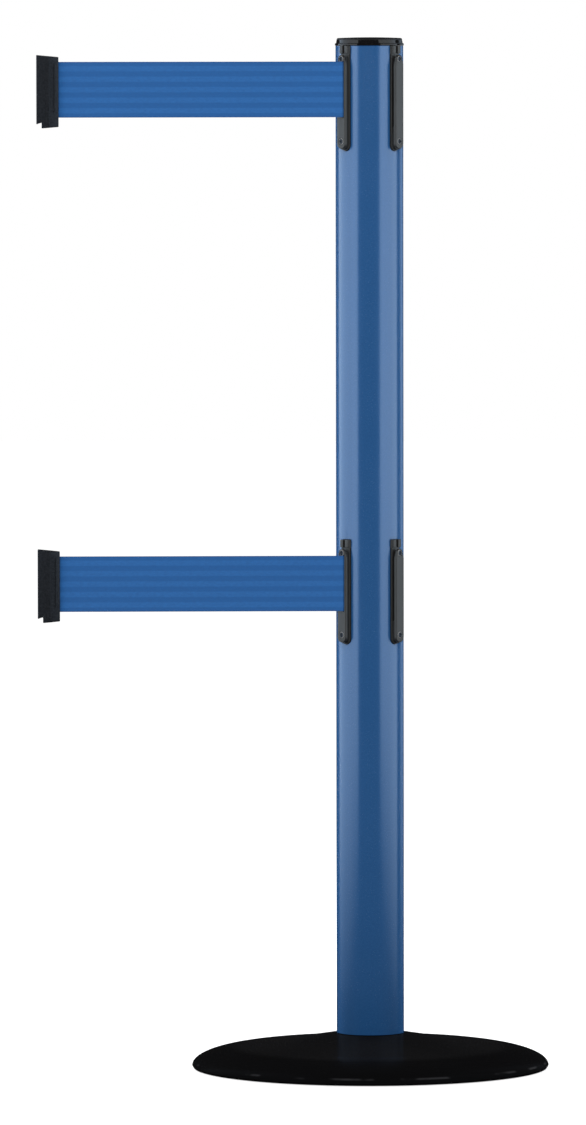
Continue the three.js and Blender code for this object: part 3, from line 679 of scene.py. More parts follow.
def moulded_insert(name, neck_half_width):
    """One insert with its front along +X and its foot at z = 0."""
    tip = TIP_RADIUS * ALMOST
    tip_height = SCREW_HEIGHTS["top"]
    rail_foot = RAIL_HALF_WIDTH * ALMOST
    rail_outline = rounded([
        (RAIL_HALF_WIDTH, RAIL_TAPER_START, 2), (TIP_RADIUS, tip_height - TIP_DROP, 1.5),
        (TIP_RADIUS, tip_height + TIP_RADIUS, tip), (-TIP_RADIUS, tip_height + TIP_RADIUS, tip),
        (-TIP_RADIUS, tip_height - TIP_DROP, 1.5), (-RAIL_HALF_WIDTH, RAIL_TAPER_START, 2),
        (-RAIL_HALF_WIDTH, RAIL_BOTTOM, rail_foot), (RAIL_HALF_WIDTH, RAIL_BOTTOM, rail_foot),
    ], steps=10)
    flange_outline = round_footed(INSERT_HALF_WIDTH, 0, INSERT_HEIGHT)
    body = plate(name, flange_outline, INSERT_INNER, FLANGE_FRONT, rounding=0.5)
    inside = FLANGE_FRONT - INSERT_OVERLAP
    stop_outline = round_footed(STOP_HALF_WIDTH, STOP_BOTTOM, STOP_TOP)
    stop = plate("stop", stop_outline, inside, RAIL_BACK + STOP_PROUD, rounding=0.5)
    neck_outline = rectangle(-neck_half_width, neck_half_width, NECK_BOTTOM, NECK_TOP)
    neck = plate("neck", neck_outline, inside, RAIL_BACK + INSERT_OVERLAP)
    rail = plate("rail", rail_outline, RAIL_BACK, RAIL_FRONT, rounding=0.6)
    brows = []
    for sides in ((-BROW_HALF_WIDTH, -BROW_SLIT_HALF_WIDTH), (BROW_SLIT_HALF_WIDTH, BROW_HALF_WIDTH)):
        brow_outline = rectangle(*sides, BROW_BOTTOM, INSERT_HEIGHT, 0.5)
        brows.append(plate("brow", brow_outline, inside, BROW_FRONT, rounding=0.4))
    carve(body, [stop, neck, rail, *brows], "UNION")
    holes = []
    past_rail = RAIL_FRONT + CUT_PAST
    for height in SCREW_HEIGHTS.values():
        holes.append(plate("hole", circle(SCREW_HOLE, 0, height), INSERT_INNER - CUT_PAST, past_rail))
        holes.append(plate("head_hole", circle(HEAD_HOLE, 0, height), HEAD_HOLE_BOTTOM, past_rail))
    return carve(body, holes)


charcoal = Finish("satin charcoal moulding", {
    "Specular IOR Level": 0.34,
    "Specular Tint": (0.95, 0.80, 0.66, 1),
})
spark = charcoal.noise(0.35, detail=2)
cloud = charcoal.noise(11, detail=3)
outwards, _, up = charcoal.axes()
# Painted shade: everything below the rail's back, the neck, the stop and the walls, is painted near
# black as the shadow under the rail, only faintly on the flange's front face and not on the brow. The
# same places are made rougher.
under_rail = charcoal.step(outwards, RAIL_BACK + 0.3, RAIL_BACK - 0.3)
flange_face = charcoal.step(outwards, FLANGE_FRONT - 0.9, FLANGE_FRONT - 0.4)
past_face = charcoal.step(outwards, FLANGE_FRONT + 0.1, FLANGE_FRONT + 0.2)
brow_share = charcoal.step(up, BROW_BOTTOM - 1, BROW_BOTTOM)
matt_and_painted_shade = under_rail * (1 - 0.9 * flange_face * (1 - past_face)) * (1 - brow_share)
satin = charcoal.mix(cloud, CHARCOAL, CHARCOAL_PALE)
charcoal.show(
    colour=charcoal.mix(matt_and_painted_shade, satin, CHARCOAL_PAINTED_SHADE),
    roughness=0.30 + 0.16 * spark + 0.30 * matt_and_painted_shade,
    relief=0.016 * spark,
)

receiver_form = moulded_insert("receiver_form", NECK_HALF_WIDTH)
outlet_form = moulded_insert("outlet_form", OUTLET_NECK_HALF_WIDTH)
slit_bottom = BELT_CENTRE - SLIT_HALF_HEIGHT
slit_top = BELT_CENTRE + SLIT_HALF_HEIGHT
slit_side = SLIT_ACROSS - SLIT_HALF_WIDTH
slit_outline = rectangle(slit_side, SLIT_ACROSS + SLIT_HALF_WIDTH, slit_bottom, slit_top, 0.4)
mouth_outline = rectangle(slit_side, SLIT_ACROSS + 4 * SLIT_HALF_WIDTH, slit_bottom, slit_top, 0.4)
slit = plate("slit", slit_outline, INSERT_INNER - CUT_PAST, RAIL_FRONT + CUT_PAST)
mouth = plate("mouth", mouth_outline, INSERT_INNER - CUT_PAST, SLIT_MOUTH)
carve(outlet_form, [slit, mouth])
for level, bottom in HEAD_BOTTOMS.items():
    for face, angle in FACE_ANGLES.items():
        form = outlet_form if face == "outlet" else receiver_form
        node = f"{level}_belt_outlet" if face == "outlet" else f"{level}_receiver_{face}"
        place = Matrix.Translation((0, 0, bottom * MM)) @ Matrix.Rotation(angle, 4, "Z")
        insert = copied(form, f"{node}_moulding", place)
        stand_in(insert, charcoal, node)
bpy.data.objects.remove(receiver_form)
bpy.data.objects.remove(outlet_form)

# ---- Insert screws ----
# Cross-head screws in black zinc plate, with a painted highlight round the rims of their heads.
# Two go through each insert into the wall of the belt cassette behind it, and hold both in the tube.

SCREW_TIP = 22.9
SCREW_RADIUS = 1.5
SCREW_PITCH = 1.1
SCREW_THREAD_DEPTH = 0.3
SCREW_POINT = 1
SCREW_PLAIN = 2
SCREW_SIDES = 40
SCREW_HEAD_RADIUS = 2.8
SCREW_HEAD_SEAT = 37.4
SCREW_HEAD_FRONT = 38.9
SCREW_HEAD_EDGE = 0.2
SCREW_HEAD_ROUND = 0.25
SCREW_HIGHLIGHT_START = 2.35
SCREW_HIGHLIGHT_END = 2.6
CROSS_HALF_LENGTH = 1.9
CROSS_HALF_WIDTH = 0.5
CROSS_BOTTOM = 37.9
BLACK_ZINC = (0.010, 0.010, 0.011, 1)
BLACK_ZINC_PALE = (0.028, 0.028, 0.030, 1)
SCREW_PAINTED_HIGHLIGHT = (0.36, 0.30, 0.25, 1)

screw_thread = []
for k in range(int((SCREW_HEAD_SEAT - SCREW_PLAIN - SCREW_TIP) / SCREW_PITCH)):
    root = SCREW_TIP + SCREW_POINT + k * SCREW_PITCH
    screw_thread += [
        (SCREW_RADIUS - SCREW_THREAD_DEPTH, root),
        (SCREW_RADIUS, root + SCREW_PITCH / 2),
    ]
black_zinc = Finish("black zinc plate", {"Metallic": 0.6})
across, along, _ = black_zinc.axes()
from_axis = (across * across + along * along) ** 0.5
# Painted highlight: a pale steel ring round the rim of each head, where its edge catches the light.
painted_rim_highlight = black_zinc.step(from_axis, SCREW_HIGHLIGHT_START, SCREW_HIGHLIGHT_END)
blackening = black_zinc.noise(0.6, detail=3)
plated = black_zinc.mix(blackening, BLACK_ZINC, BLACK_ZINC_PALE)
black_zinc.show(
    colour=black_zinc.mix(painted_rim_highlight * 0.9, plated, SCREW_PAINTED_HIGHLIGHT),
    roughness=0.38 + 0.2 * blackening,
    relief=0.02 * blackening,
)
screw_form = turned("screw_form", [
    (0, SCREW_TIP), *screw_thread, (SCREW_RADIUS, SCREW_HEAD_SEAT),
    (SCREW_HEAD_RADIUS, SCREW_HEAD_FRONT - 2 * SCREW_HEAD_EDGE),
    (SCREW_HEAD_RADIUS, SCREW_HEAD_FRONT - SCREW_HEAD_EDGE),
    (SCREW_HEAD_RADIUS - SCREW_HEAD_ROUND, SCREW_HEAD_FRONT), (0, SCREW_HEAD_FRONT),
], sides=SCREW_SIDES)
cross = []
for half_x, half_y in ((CROSS_HALF_LENGTH, CROSS_HALF_WIDTH), (CROSS_HALF_WIDTH, CROSS_HALF_LENGTH)):
    arm = rectangle(-half_x, half_x, -half_y, half_y)
    cross.append(plate("cross", arm, CROSS_BOTTOM, SCREW_HEAD_FRONT + CUT_PAST, "Z"))
carve(screw_form, cross)
lay_along_x = Matrix.Rotation(QUARTER_TURN, 4, "Y")
for level, bottom in HEAD_BOTTOMS.items():
    for face, angle in FACE_ANGLES.items():
        for end, height in SCREW_HEIGHTS.items():
            lift = Matrix.Translation((0, 0, (bottom + height) * MM))
            place = lift @ Matrix.Rotation(angle, 4, "Z") @ lay_along_x
            screw = copied(screw_form, f"{level}_{face}_{end}_screw", place)
            stand_in(screw, black_zinc, f"{level}_{face}_screw_{end}")
bpy.data.objects.remove(screw_form)

# ---- Belt cassettes ----
# A black moulded cup and lid inside the tube behind each head. They carry the axle, and close
# off the spring below and the brake above from the belt between them.

CASSETTE_RADIUS = 25.4
CASSETTE_INNER = 22.6
CASSETTE_BOTTOM = -3
CASSETTE_FLOOR = -1
CASSETTE_TOP = 93
LID_SEAT = 93.3
LID_TOP = 95.3
LID_SPIGOT_OUTER = 22.3
LID_SPIGOT_INNER = 19.8
LID_SPIGOT_BOTTOM = 91
AXLE_RADIUS = 3
AXLE_BORE = 3.3
AXLE_HEAD_RADIUS = 5
AXLE_BOTTOM = -4.8
AXLE_HEAD_TOP = -3.3
AXLE_TOP = 96
ARBOR_RADIUS = 5
WINDOW_LEFT = SLIT_ACROSS - 2 * SLIT_HALF_WIDTH
WINDOW_RIGHT = SLIT_ACROSS + 8 * SLIT_HALF_WIDTH
WALL_CUT_START = CASSETTE_INNER - 3
SPRING_COVER_BOTTOM = 25.2
SPRING_COVER_TOP = 27
MOULDED_BLACK = (0.010, 0.0105, 0.012, 1)
MOULDED_PALE = (0.020, 0.021, 0.024, 1)

cassette_black = Finish("textured black moulding", {"IOR": 1.5})
spark_grain = cassette_black.noise(0.45, detail=3)
sink = cassette_black.noise(18, detail=2)
cassette_black.show(
    colour=cassette_black.mix(sink, MOULDED_BLACK, MOULDED_PALE),
    roughness=0.42 + 0.2 * spark_grain,
    relief=0.03 * spark_grain,
)


def fit_in_head(piece, finish, level, part, body="post"):
    """Fits a piece that was made at z = 0 into the upper or the lower head."""
    piece.location.z = HEAD_BOTTOMS[level] * MM
    stand_in(piece, finish, f"{level}_{part}", body)


for level in HEAD_BOTTOMS:
    shell = turned(f"{level}_cassette_cup", rounded([
        (AXLE_BORE, CASSETTE_BOTTOM, 0.3), (CASSETTE_RADIUS, CASSETTE_BOTTOM, 1),
        (CASSETTE_RADIUS, CASSETTE_TOP, 0.3), (CASSETTE_INNER, CASSETTE_TOP, 0.3),
        (CASSETTE_INNER, CASSETTE_FLOOR, 0.8), (AXLE_BORE, CASSETTE_FLOOR, 0.3),
    ], steps=3), sides=SMALL_SIDES)
    window_outline = rectangle(WINDOW_LEFT, WINDOW_RIGHT, slit_bottom, slit_top, 1)
    window = plate("window", window_outline, WALL_CUT_START, CASSETTE_RADIUS + CUT_PAST)
    window.matrix_world = Matrix.Rotation(OUTLET_ANGLE, 4, "Z")
    holes = [window]
    for angle in FACE_ANGLES.values():
        for height in SCREW_HEIGHTS.values():
            outline = circle(SCREW_HOLE, 0, height, sides=24)
            hole = plate("hole", outline, WALL_CUT_START, CASSETTE_RADIUS + CUT_PAST)
            hole.matrix_world = Matrix.Rotation(angle, 4, "Z")
            holes.append(hole)
    carve(shell, holes)
    lid = turned(f"{level}_cassette_top", rounded([
        (AXLE_BORE, LID_SEAT, 0.3), (LID_SPIGOT_INNER, LID_SEAT, 0),
        (LID_SPIGOT_INNER, LID_SPIGOT_BOTTOM, 0.4), (LID_SPIGOT_OUTER, LID_SPIGOT_BOTTOM, 0.4),
        (LID_SPIGOT_OUTER, LID_SEAT, 0), (CASSETTE_RADIUS, LID_SEAT, 0.3),
        (CASSETTE_RADIUS, LID_TOP, 0.6), (AXLE_BORE, LID_TOP, 0.3),
    ], steps=3), sides=SMALL_SIDES)
    cover_bore = ARBOR_RADIUS + GAP
    spring_cover = turned(f"{level}_spring_disc", rounded([
        (cover_bore, SPRING_COVER_BOTTOM, 0.3), (LID_SPIGOT_OUTER, SPRING_COVER_BOTTOM, 0.3),
        (LID_SPIGOT_OUTER, SPRING_COVER_TOP, 0.3), (cover_bore, SPRING_COVER_TOP, 0.3),
    ], steps=3), sides=SMALL_SIDES)
    axle = turned(f"{level}_turned_axle", rounded([
        (0, AXLE_BOTTOM, 0), (AXLE_HEAD_RADIUS, AXLE_BOTTOM, 0.4),
        (AXLE_HEAD_RADIUS, AXLE_HEAD_TOP, 0.2), (AXLE_RADIUS, AXLE_HEAD_TOP, 0),
        (AXLE_RADIUS, AXLE_TOP, 0.6), (0, AXLE_TOP, 0),
    ], steps=3), sides=BOLT_SIDES)
    fit_in_head(shell, cassette_black, level, "cassette_shell")
    fit_in_head(lid, cassette_black, level, "cassette_lid")
    fit_in_head(spring_cover, cassette_black, level, "spring_cover")
    fit_in_head(axle, zinc, level, "axle")

# ---- Brakes ----
# A felt pad on the spool's upper flange and a dished spring washer under the lid that presses
# on it. Their drag makes a released belt wind in slowly.

PAD_INNER = 9
PAD_OUTER = 20
PAD_BOTTOM = 86.3
PAD_TOP = 88.3
DISH_OUTER = 18
DISH_BOTTOM = PAD_TOP + GAP
DISH_RISE = 1.2
DISH_THICKNESS = 0.6
FELT_GREY = (0.11, 0.10, 0.085, 1)
FELT_PALE = (0.20, 0.185, 0.16, 1)
BLUED_DARK = (0.045, 0.055, 0.085, 1)
BLUED_LIGHT = (0.110, 0.120, 0.150, 1)

felt = Finish("pressed wool felt", {"Sheen Weight": 0.4, "IOR": 1.35})
fibres = felt.noise(0.3, detail=6)
felt.show(
    colour=felt.mix(fibres, FELT_GREY, FELT_PALE),
    roughness=0.85 + 0.1 * fibres,
    relief=0.25 * fibres,
)

blued_steel = Finish("blued spring steel", {"Metallic": 1.0})
temper = blued_steel.noise(5, detail=3)
blued_steel.show(
    colour=blued_steel.mix(temper, BLUED_DARK, BLUED_LIGHT),
    roughness=0.28 + 0.15 * temper,
    relief=0.01 * temper,
)

for level in HEAD_BOTTOMS:
    pad = turned(f"{level}_felt_pad", rounded([
        (PAD_INNER, PAD_BOTTOM, 0.5), (PAD_OUTER, PAD_BOTTOM, 0.6),
        (PAD_OUTER, PAD_TOP, 0.6), (PAD_INNER, PAD_TOP, 0.5),
    ], steps=3), sides=SMALL_SIDES)
    dish = turned(f"{level}_dished_washer", [
        (DISH_OUTER, DISH_BOTTOM),
        (DISH_OUTER, DISH_BOTTOM + DISH_THICKNESS),
        (PAD_INNER, DISH_BOTTOM + DISH_RISE + DISH_THICKNESS),
        (PAD_INNER, DISH_BOTTOM + DISH_RISE),
    ], sides=SMALL_SIDES)
    fit_in_head(pad, felt, level, "brake_pad")
    fit_in_head(dish, blued_steel, level, "brake_washer")

# ---- Spools and power springs ----
# An acetal spool turns on each axle, with a long arbor below its flanges. A flat spring of
# blued steel is coiled round the arbor, fixed to it and to the cup, and winds the belt in.

SPOOL_BOTTOM = 0.3
CORE_RADIUS = 7.3
FLANGE_RADIUS = 21.8
LOWER_FLANGE = 28.2
UPPER_FLANGE = 84
FLANGE_THICKNESS = 2
SPRING_INNER = 6.1
SPRING_OUTER = 21.3
SPRING_BOTTOM = 1
SPRING_TOP = 24.5
SPRING_TURNS = 11
SPRING_THICKNESS = 0.3
STEPS_PER_TURN = 40
ACETAL = (0.060, 0.062, 0.064, 1)
ACETAL_PALE = (0.085, 0.087, 0.090, 1)


def strip_along(name, line, profile):
    """A strip along a line in plan: profile lists (offset sideways, height) round its section."""
    shell = bmesh.new()
    rings = []
    for i, point in enumerate(line):
        ahead = (line[min(i + 1, len(line) - 1)] - line[max(i - 1, 0)]).normalized()
        sideways = Vector((-ahead.y, ahead.x))
        rings.append([
            shell.verts.new(Vector((*(point + sideways * offset), height)) * MM)
            for offset, height in profile
        ])
    bridge(shell, rings, closed=False)
    shell.faces.new(rings[0])
    shell.faces.new(rings[-1])
    return solid(name, shell)


def coil_line(inner, outer, turns):
    """A spiral in plan from an inner to an outer radius."""
    steps = int(turns * STEPS_PER_TURN)
    points = []
    for i in range(steps + 1):
        angle = 2 * math.pi * turns * i / steps
        radius = inner + (outer - inner) * i / steps
        points.append(Vector((radius * math.cos(angle), radius * math.sin(angle))))
    return points


acetal = Finish("grey acetal", {"IOR": 1.48})
wax = acetal.noise(4, detail=3)
acetal.show(
    colour=acetal.mix(wax, ACETAL, ACETAL_PALE),
    roughness=0.3 + 0.12 * wax,
    relief=0.01 * wax,
)

lower_top = LOWER_FLANGE + FLANGE_THICKNESS
upper_top = UPPER_FLANGE + FLANGE_THICKNESS
half = SPRING_THICKNESS / 2
for level in HEAD_BOTTOMS:
    spool = turned(f"{level}_flanged_spool", rounded([
        (AXLE_BORE, SPOOL_BOTTOM, 0.3), (ARBOR_RADIUS, SPOOL_BOTTOM, 0.3),
        (ARBOR_RADIUS, LOWER_FLANGE, 0), (FLANGE_RADIUS, LOWER_FLANGE, 0.6),
        (FLANGE_RADIUS, lower_top, 0.6), (CORE_RADIUS, lower_top, 0), (CORE_RADIUS, UPPER_FLANGE, 0),
        (FLANGE_RADIUS, UPPER_FLANGE, 0.6), (FLANGE_RADIUS, upper_top, 0.6), (AXLE_BORE, upper_top, 0.3),
    ], steps=3), sides=SMALL_SIDES)
    spring = strip_along(
        f"{level}_coiled_spring", coil_line(SPRING_INNER, SPRING_OUTER, SPRING_TURNS),
        rectangle(-half, half, SPRING_BOTTOM, SPRING_TOP, 0.1))
    fit_in_head(spool, acetal, level, "spool", f"{level}_spool_drum")
    fit_in_head(spring, blued_steel, level, "power_spring")

# ---- Belts ----
# Woven polyester webbing, 52 wide, dyed blue, with flat bands woven along it. Each belt is
# 2.3 long: it leaves the roll on its spool by the outlet's slit, bends round the lip and runs
# out to a loop round the pin in its end, stretched straight by the spring.

BELT_WIDTH = 52
BELT_THICKNESS = 0.42
BELT_BOTTOM = BELT_CENTRE - BELT_WIDTH / 2
BAND_PERIOD = 9.8
PICK_SPACING = 1.05
CORD_SPACING = 0.8
SELVEDGE_WIDTH = 1.2
SELVEDGE_SHARE = 0.45
RIB_RELIEF = 0.03
BEND_RADIUS = 2
BEND_STEPS = 10
STRAIGHT_STEPS = 60
LOOP_STEPS = 30
SLIT_OUTLET = 39.5
ROLL_INNER = 7.85
ROLL_OUTER = 18.4
ROLL_TURNS = 24.5
ROLL_THICKNESS = 0.4
ROLL_WRAP = 19.15
PIN_X = -298.5
LOOP_RADIUS = 2.15
LOOP_TURN = math.radians(290)
WEBBING_BLUE = (0.0188, 0.1250, 0.3760, 1)
WEBBING_BAND = (0.0128, 0.1010, 0.3180, 1)
WEBBING_EDGE = (0.0120, 0.0720, 0.2300, 1)
WEBBING_HOLLOW = (0.0150, 0.0850, 0.2650, 1)


def at_outlet(outwards, across):
    """A point beside the outlet in plan, by its distance out from the axis and across."""
    return Matrix.Rotation(OUTLET_ANGLE, 2) @ Vector((outwards, across))


def belt_profile(thickness, relief, steps=54):
    """Round the webbing's section: one face upwards, then the other face back down."""
    heights = [BELT_WIDTH * i / steps for i in range(steps + 1)]
    face = []
    for height in heights:
        edge = min(height, BELT_WIDTH - height)
        ends = min(1, SELVEDGE_SHARE + edge / SELVEDGE_WIDTH)
        wave = math.cos(2 * math.pi * (height - BELT_WIDTH / 2) / BAND_PERIOD)
        face.append((ends * (thickness / 2 + relief * wave), BELT_BOTTOM + height))
    return face + [(-offset, height) for offset, height in reversed(face)]


def webbing(level, head_bottom):
    """The webbing's material, with its bands and edges set by this belt's height."""
    finish = Finish(f"{level} blue webbing", {"Sheen Weight": 0.06, "Specular IOR Level": 0.25})
    x, _, z = finish.axes()
    up = z - (head_bottom + BELT_BOTTOM)
    from_edge = BELT_WIDTH / 2 - abs(up - BELT_WIDTH / 2)
    band = ((up - BELT_WIDTH / 2) * (2 * math.pi / BAND_PERIOD) + QUARTER_TURN).sine()
    band_share = finish.step(band, -0.35, 0.35)
    picks = (x * (2 * math.pi / PICK_SPACING)).sine()
    cords = (up * (2 * math.pi / CORD_SPACING)).sine()
    stagger = (x * (math.pi / PICK_SPACING) + up * (math.pi / CORD_SPACING)).sine()
    weave = 0.5 + 0.2 * picks + 0.15 * cords + 0.15 * stagger
    yarn = finish.noise(0.7, detail=3, stretch=(3, 3, 1))
    slub = finish.noise(1.9, detail=2, stretch=(2, 2, 1))
    fade = finish.noise(30, detail=3, stretch=(4, 4, 1))
    banded = finish.mix(band_share, WEBBING_BAND, WEBBING_BLUE)
    hollow = (1 - weave) * 0.32 + (yarn - 0.5) * 0.7 + (slub - 0.5) * 0.9 + (fade - 0.5) * 0.2
    woven = finish.mix(hollow, banded, WEBBING_HOLLOW)
    selvedge = 1 - finish.step(from_edge, 0.35, 1.3)
    finish.show(
        colour=finish.mix(selvedge * 0.8, woven, WEBBING_EDGE),
        roughness=0.74 + 0.16 * yarn,
        relief=0.10 * weave + 0.06 * yarn,
    )
    return finish


bend_centre = at_outlet(SLIT_OUTLET, SLIT_ACROSS - BEND_RADIUS)
belt_y = bend_centre.y - BEND_RADIUS
mouth_point = Vector((INSERT_INNER + 1, SLIT_ACROSS))
tangent = math.atan2(mouth_point.y, mouth_point.x) + math.acos(ROLL_WRAP / mouth_point.length)
belt_line = [
    at_outlet(ROLL_WRAP * math.cos(tangent), ROLL_WRAP * math.sin(tangent)),
    at_outlet(*mouth_point),
]
for i in range(BEND_STEPS + 1):
    angle = OUTLET_ANGLE + QUARTER_TURN - QUARTER_TURN / 2 * i / BEND_STEPS
    belt_line.append(bend_centre + BEND_RADIUS * Vector((math.cos(angle), math.sin(angle))))
belt_start_x = bend_centre.x
for i in range(1, STRAIGHT_STEPS):
    share = i / STRAIGHT_STEPS
    belt_line.append(Vector((belt_start_x + (PIN_X - belt_start_x) * share, belt_y)))
for i in range(LOOP_STEPS + 1):
    angle = -QUARTER_TURN - LOOP_TURN * i / LOOP_STEPS
    belt_line.append(Vector((
        PIN_X + LOOP_RADIUS * math.cos(angle), belt_y + LOOP_RADIUS * (1 + math.sin(angle)),
    )))
roll_line = coil_line(ROLL_INNER, ROLL_OUTER, ROLL_TURNS)

for level, bottom in HEAD_BOTTOMS.items():
    finish = webbing(level, bottom)
    rise = Matrix.Translation((0, 0, bottom * MM))
    belt = strip_along(f"{level}_webbing", belt_line, belt_profile(BELT_THICKNESS, RIB_RELIEF))
    belt.data.transform(rise)
    coat(belt, finish)
    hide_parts(f"{level}_belt")
    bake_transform(belt)
    roll = strip_along(f"{level}_wound_webbing", roll_line, belt_profile(ROLL_THICKNESS, 0, steps=12))
    roll.data.transform(rise)
    stand_in(roll, finish, f"{level}_belt_roll", f"{level}_spool_drum")

# ---- Tape ends and pins ----
# A textured black moulding on each belt's end. The belt's loop is held in it by a steel pin,
# and its far side is a jaw, open below, that slides down over another stanchion's rail.

END_NEAR = -291.3
END_FAR = -312.1
END_STEP = -307.2
END_SHOULDER = -300.8
END_HALF_DEPTH = 7.9
END_NEAR_HALF_DEPTH = 4.5
END_TOP_FAR = 32.5
END_TOP_NEAR = 30.6
END_BOTTOM_STEP = -36
END_BOTTOM_NEAR = -34.7
JAW_BOTTOM = -32.2
JAW_BOTTOM_INNER = -30.6
JAW_LIP = 2
JAW_HALF_MOUTH = 3.1
JAW_HALF_WIDTH = 5.9
JAW_TOP = 28
END_ROUNDING = 0.7
END_SOFTENED_ABOVE = math.radians(15)
END_CUT = 45
SIDE_CUT = 20
BELT_SLOT_HALF_WIDTH = 0.55
PANEL_FAR = -299.4
PANEL_NEAR = -295.2
PANEL_BOTTOM = -21.4
PANEL_TOP = 24.6
PANEL_DEPTH = 0.45
GROOVE_START = 0.6
GROOVE_DEPTH = 0.85
GROOVE_PITCH = 3.1
GROOVE_HEIGHT = 1.7
PIN_RADIUS = 1.6
PIN_BOTTOM = -27.6
PIN_TOP = 26.6
LOOP_HOLE = 2.7
END_BLACK = (0.0060, 0.0066, 0.0082, 1)
END_PALE = (0.0165, 0.0176, 0.0208, 1)


def panel_cutter(side, depth, bottom, top):
    """A cutter for a panel on one face of the tape end: side is -1 for the front, 1 for the back."""
    slope = (END_HALF_DEPTH - END_NEAR_HALF_DEPTH) / (END_NEAR - END_SHOULDER)
    outwards = Vector((slope, side)).normalized()
    far, near = (
        Vector((x, side * (END_HALF_DEPTH - slope * (x - END_SHOULDER))))
        for x in (PANEL_FAR, PANEL_NEAR)
    )
    corners = [far - outwards * depth, near - outwards * depth, near + outwards, far + outwards]
    return plate("panel", corners, bottom, top, "Z")


end_black = Finish("textured black tape end", {"Specular IOR Level": 0.12})
end_grain = end_black.noise(0.5, detail=3)
end_cloud = end_black.noise(9, detail=3)
end_grit = end_black.step(end_black.noise(1.5, detail=3), 0.3, 0.7)
end_share = end_grit * 0.75 + end_cloud * 0.25
end_black.show(
    colour=end_black.mix(end_share, END_BLACK, END_PALE),
    roughness=0.38 + 0.2 * end_grain,
    relief=0.03 * end_grain,
)

end_form = plate("end_form", [
    (END_FAR, -END_HALF_DEPTH), (END_SHOULDER, -END_HALF_DEPTH), (END_NEAR, -END_NEAR_HALF_DEPTH),
    (END_NEAR, END_NEAR_HALF_DEPTH), (END_SHOULDER, END_HALF_DEPTH), (END_FAR, END_HALF_DEPTH),
], -END_CUT, END_CUT, "Z")
side_form = plate("side_form", [
    (END_FAR, JAW_BOTTOM), (END_STEP, JAW_BOTTOM_INNER), (END_STEP, END_BOTTOM_STEP),
    (END_NEAR, END_BOTTOM_NEAR), (END_NEAR, END_TOP_NEAR), (END_FAR, END_TOP_FAR),
], -SIDE_CUT, SIDE_CUT, "Y")
carve(end_form, [side_form], "INTERSECT")
softening = end_form.modifiers.new("moulded edges", "BEVEL")
softening.width = END_ROUNDING * MM
softening.segments = 3
softening.limit_method = "ANGLE"
softening.angle_limit = END_SOFTENED_ABOVE
jaw_lip = END_FAR + JAW_LIP
cavity_outline = rectangle(jaw_lip, END_STEP + 0.5, -JAW_HALF_WIDTH, JAW_HALF_WIDTH, 0.3)
cavity = plate("cavity", cavity_outline, -END_CUT, JAW_TOP, "Z")
mouth_outline = rectangle(END_FAR - CUT_PAST, jaw_lip + CUT_PAST, -JAW_HALF_MOUTH, JAW_HALF_MOUTH)
jaw_mouth = plate("jaw_mouth", mouth_outline, -END_CUT, JAW_TOP, "Z")
hole_outline = circle(LOOP_HOLE, PIN_X, LOOP_RADIUS)
loop_hole = plate("loop_hole", hole_outline, -END_CUT, PIN_TOP + GAP, "Z")
slot_outline = rectangle(PIN_X, END_NEAR + CUT_PAST, -BELT_SLOT_HALF_WIDTH, BELT_SLOT_HALF_WIDTH)
slot_half_height = BELT_WIDTH / 2 + GAP
belt_slot = plate("belt_slot", slot_outline, -slot_half_height, slot_half_height, "Z")
panels = []
for side in (-1, 1):
    panels.append(panel_cutter(side, PANEL_DEPTH, PANEL_BOTTOM, PANEL_TOP))
    for k in range(int((PANEL_TOP - PANEL_BOTTOM) / GROOVE_PITCH)):
        low = PANEL_BOTTOM + GROOVE_START + k * GROOVE_PITCH
        panels.append(panel_cutter(side, GROOVE_DEPTH, low, low + GROOVE_HEIGHT))
carve(end_form, [cavity, jaw_mouth, loop_hole, belt_slot, *panels])
pin_form = turned("pin_form", rounded([
    (0, PIN_BOTTOM, 0), (PIN_RADIUS, PIN_BOTTOM, 0.4), (PIN_RADIUS, PIN_TOP, 0.4), (0, PIN_TOP, 0),
], steps=3), sides=SCREW_SIDES)
for level, bottom in HEAD_BOTTOMS.items():
    body = f"{level}_belt_end"
    end_place = Vector((0, belt_y, bottom + BELT_CENTRE)) * MM
    pin_place = Vector((PIN_X, belt_y + LOOP_RADIUS, bottom + BELT_CENTRE)) * MM
    end = copied(end_form, f"{level}_tape_end_moulding", Matrix.Translation(end_place))
    stand_in(end, end_black, f"{level}_tape_end", body)
    pin = copied(pin_form, f"{level}_loop_pin", Matrix.Translation(pin_place))
    stand_in(pin, zinc, f"{level}_belt_pin", body)
bpy.data.objects.remove(end_form)
bpy.data.objects.remove(pin_form)

# ---- Studio ----
# A plain white floor under soft, even light. Two tall soft boxes stand beside the stanchion and
# show as pale bands in its gloss, and a narrower one stands behind it on the right.

FLOOR_REACH = 14
FLOOR_WHITE = (0.55, 0.55, 0.55, 1)
FLOOR_PALE = (0.53, 0.53, 0.53, 1)
GLOW_WHITE = (1, 1, 1, 1)
GLOW_PALE = (0.97, 0.97, 0.97, 1)
BOX_TINT = (0.62, 0.80, 1.0)
BOX_DISTANCE = 0.85
BOX_MIDDLE_HEIGHT = 0.86
BOX_HEIGHT = 2.0
FADE_STRONG = 0.76
FADE_STRONG_START = -0.05
FADE_STRONG_END = 0.18
FADE_WEAK = 0.24
FADE_WEAK_START = 0.1
FADE_WEAK_END = 0.42
KEY_PLACE = Vector((-0.3, -2.5, 2.2))
KEY_TARGET = Vector((-0.1, 0, 0.75))
REAR_PLACE = Vector((1.4, 1.4, 0.6))
REAR_TARGET = Vector((0, 0, 0.5))
ROOM_LIGHT = 0.62
ROOM_IN_GLOSS = 0.02
ROOM_SEEN = 1.0
CAMERA_PLACE = Vector((-0.267, -8.9, 0.9674))
CAMERA_TARGET = Vector((-0.0723, 0, 0.4771))
CAMERA_ROLL = -0.0015

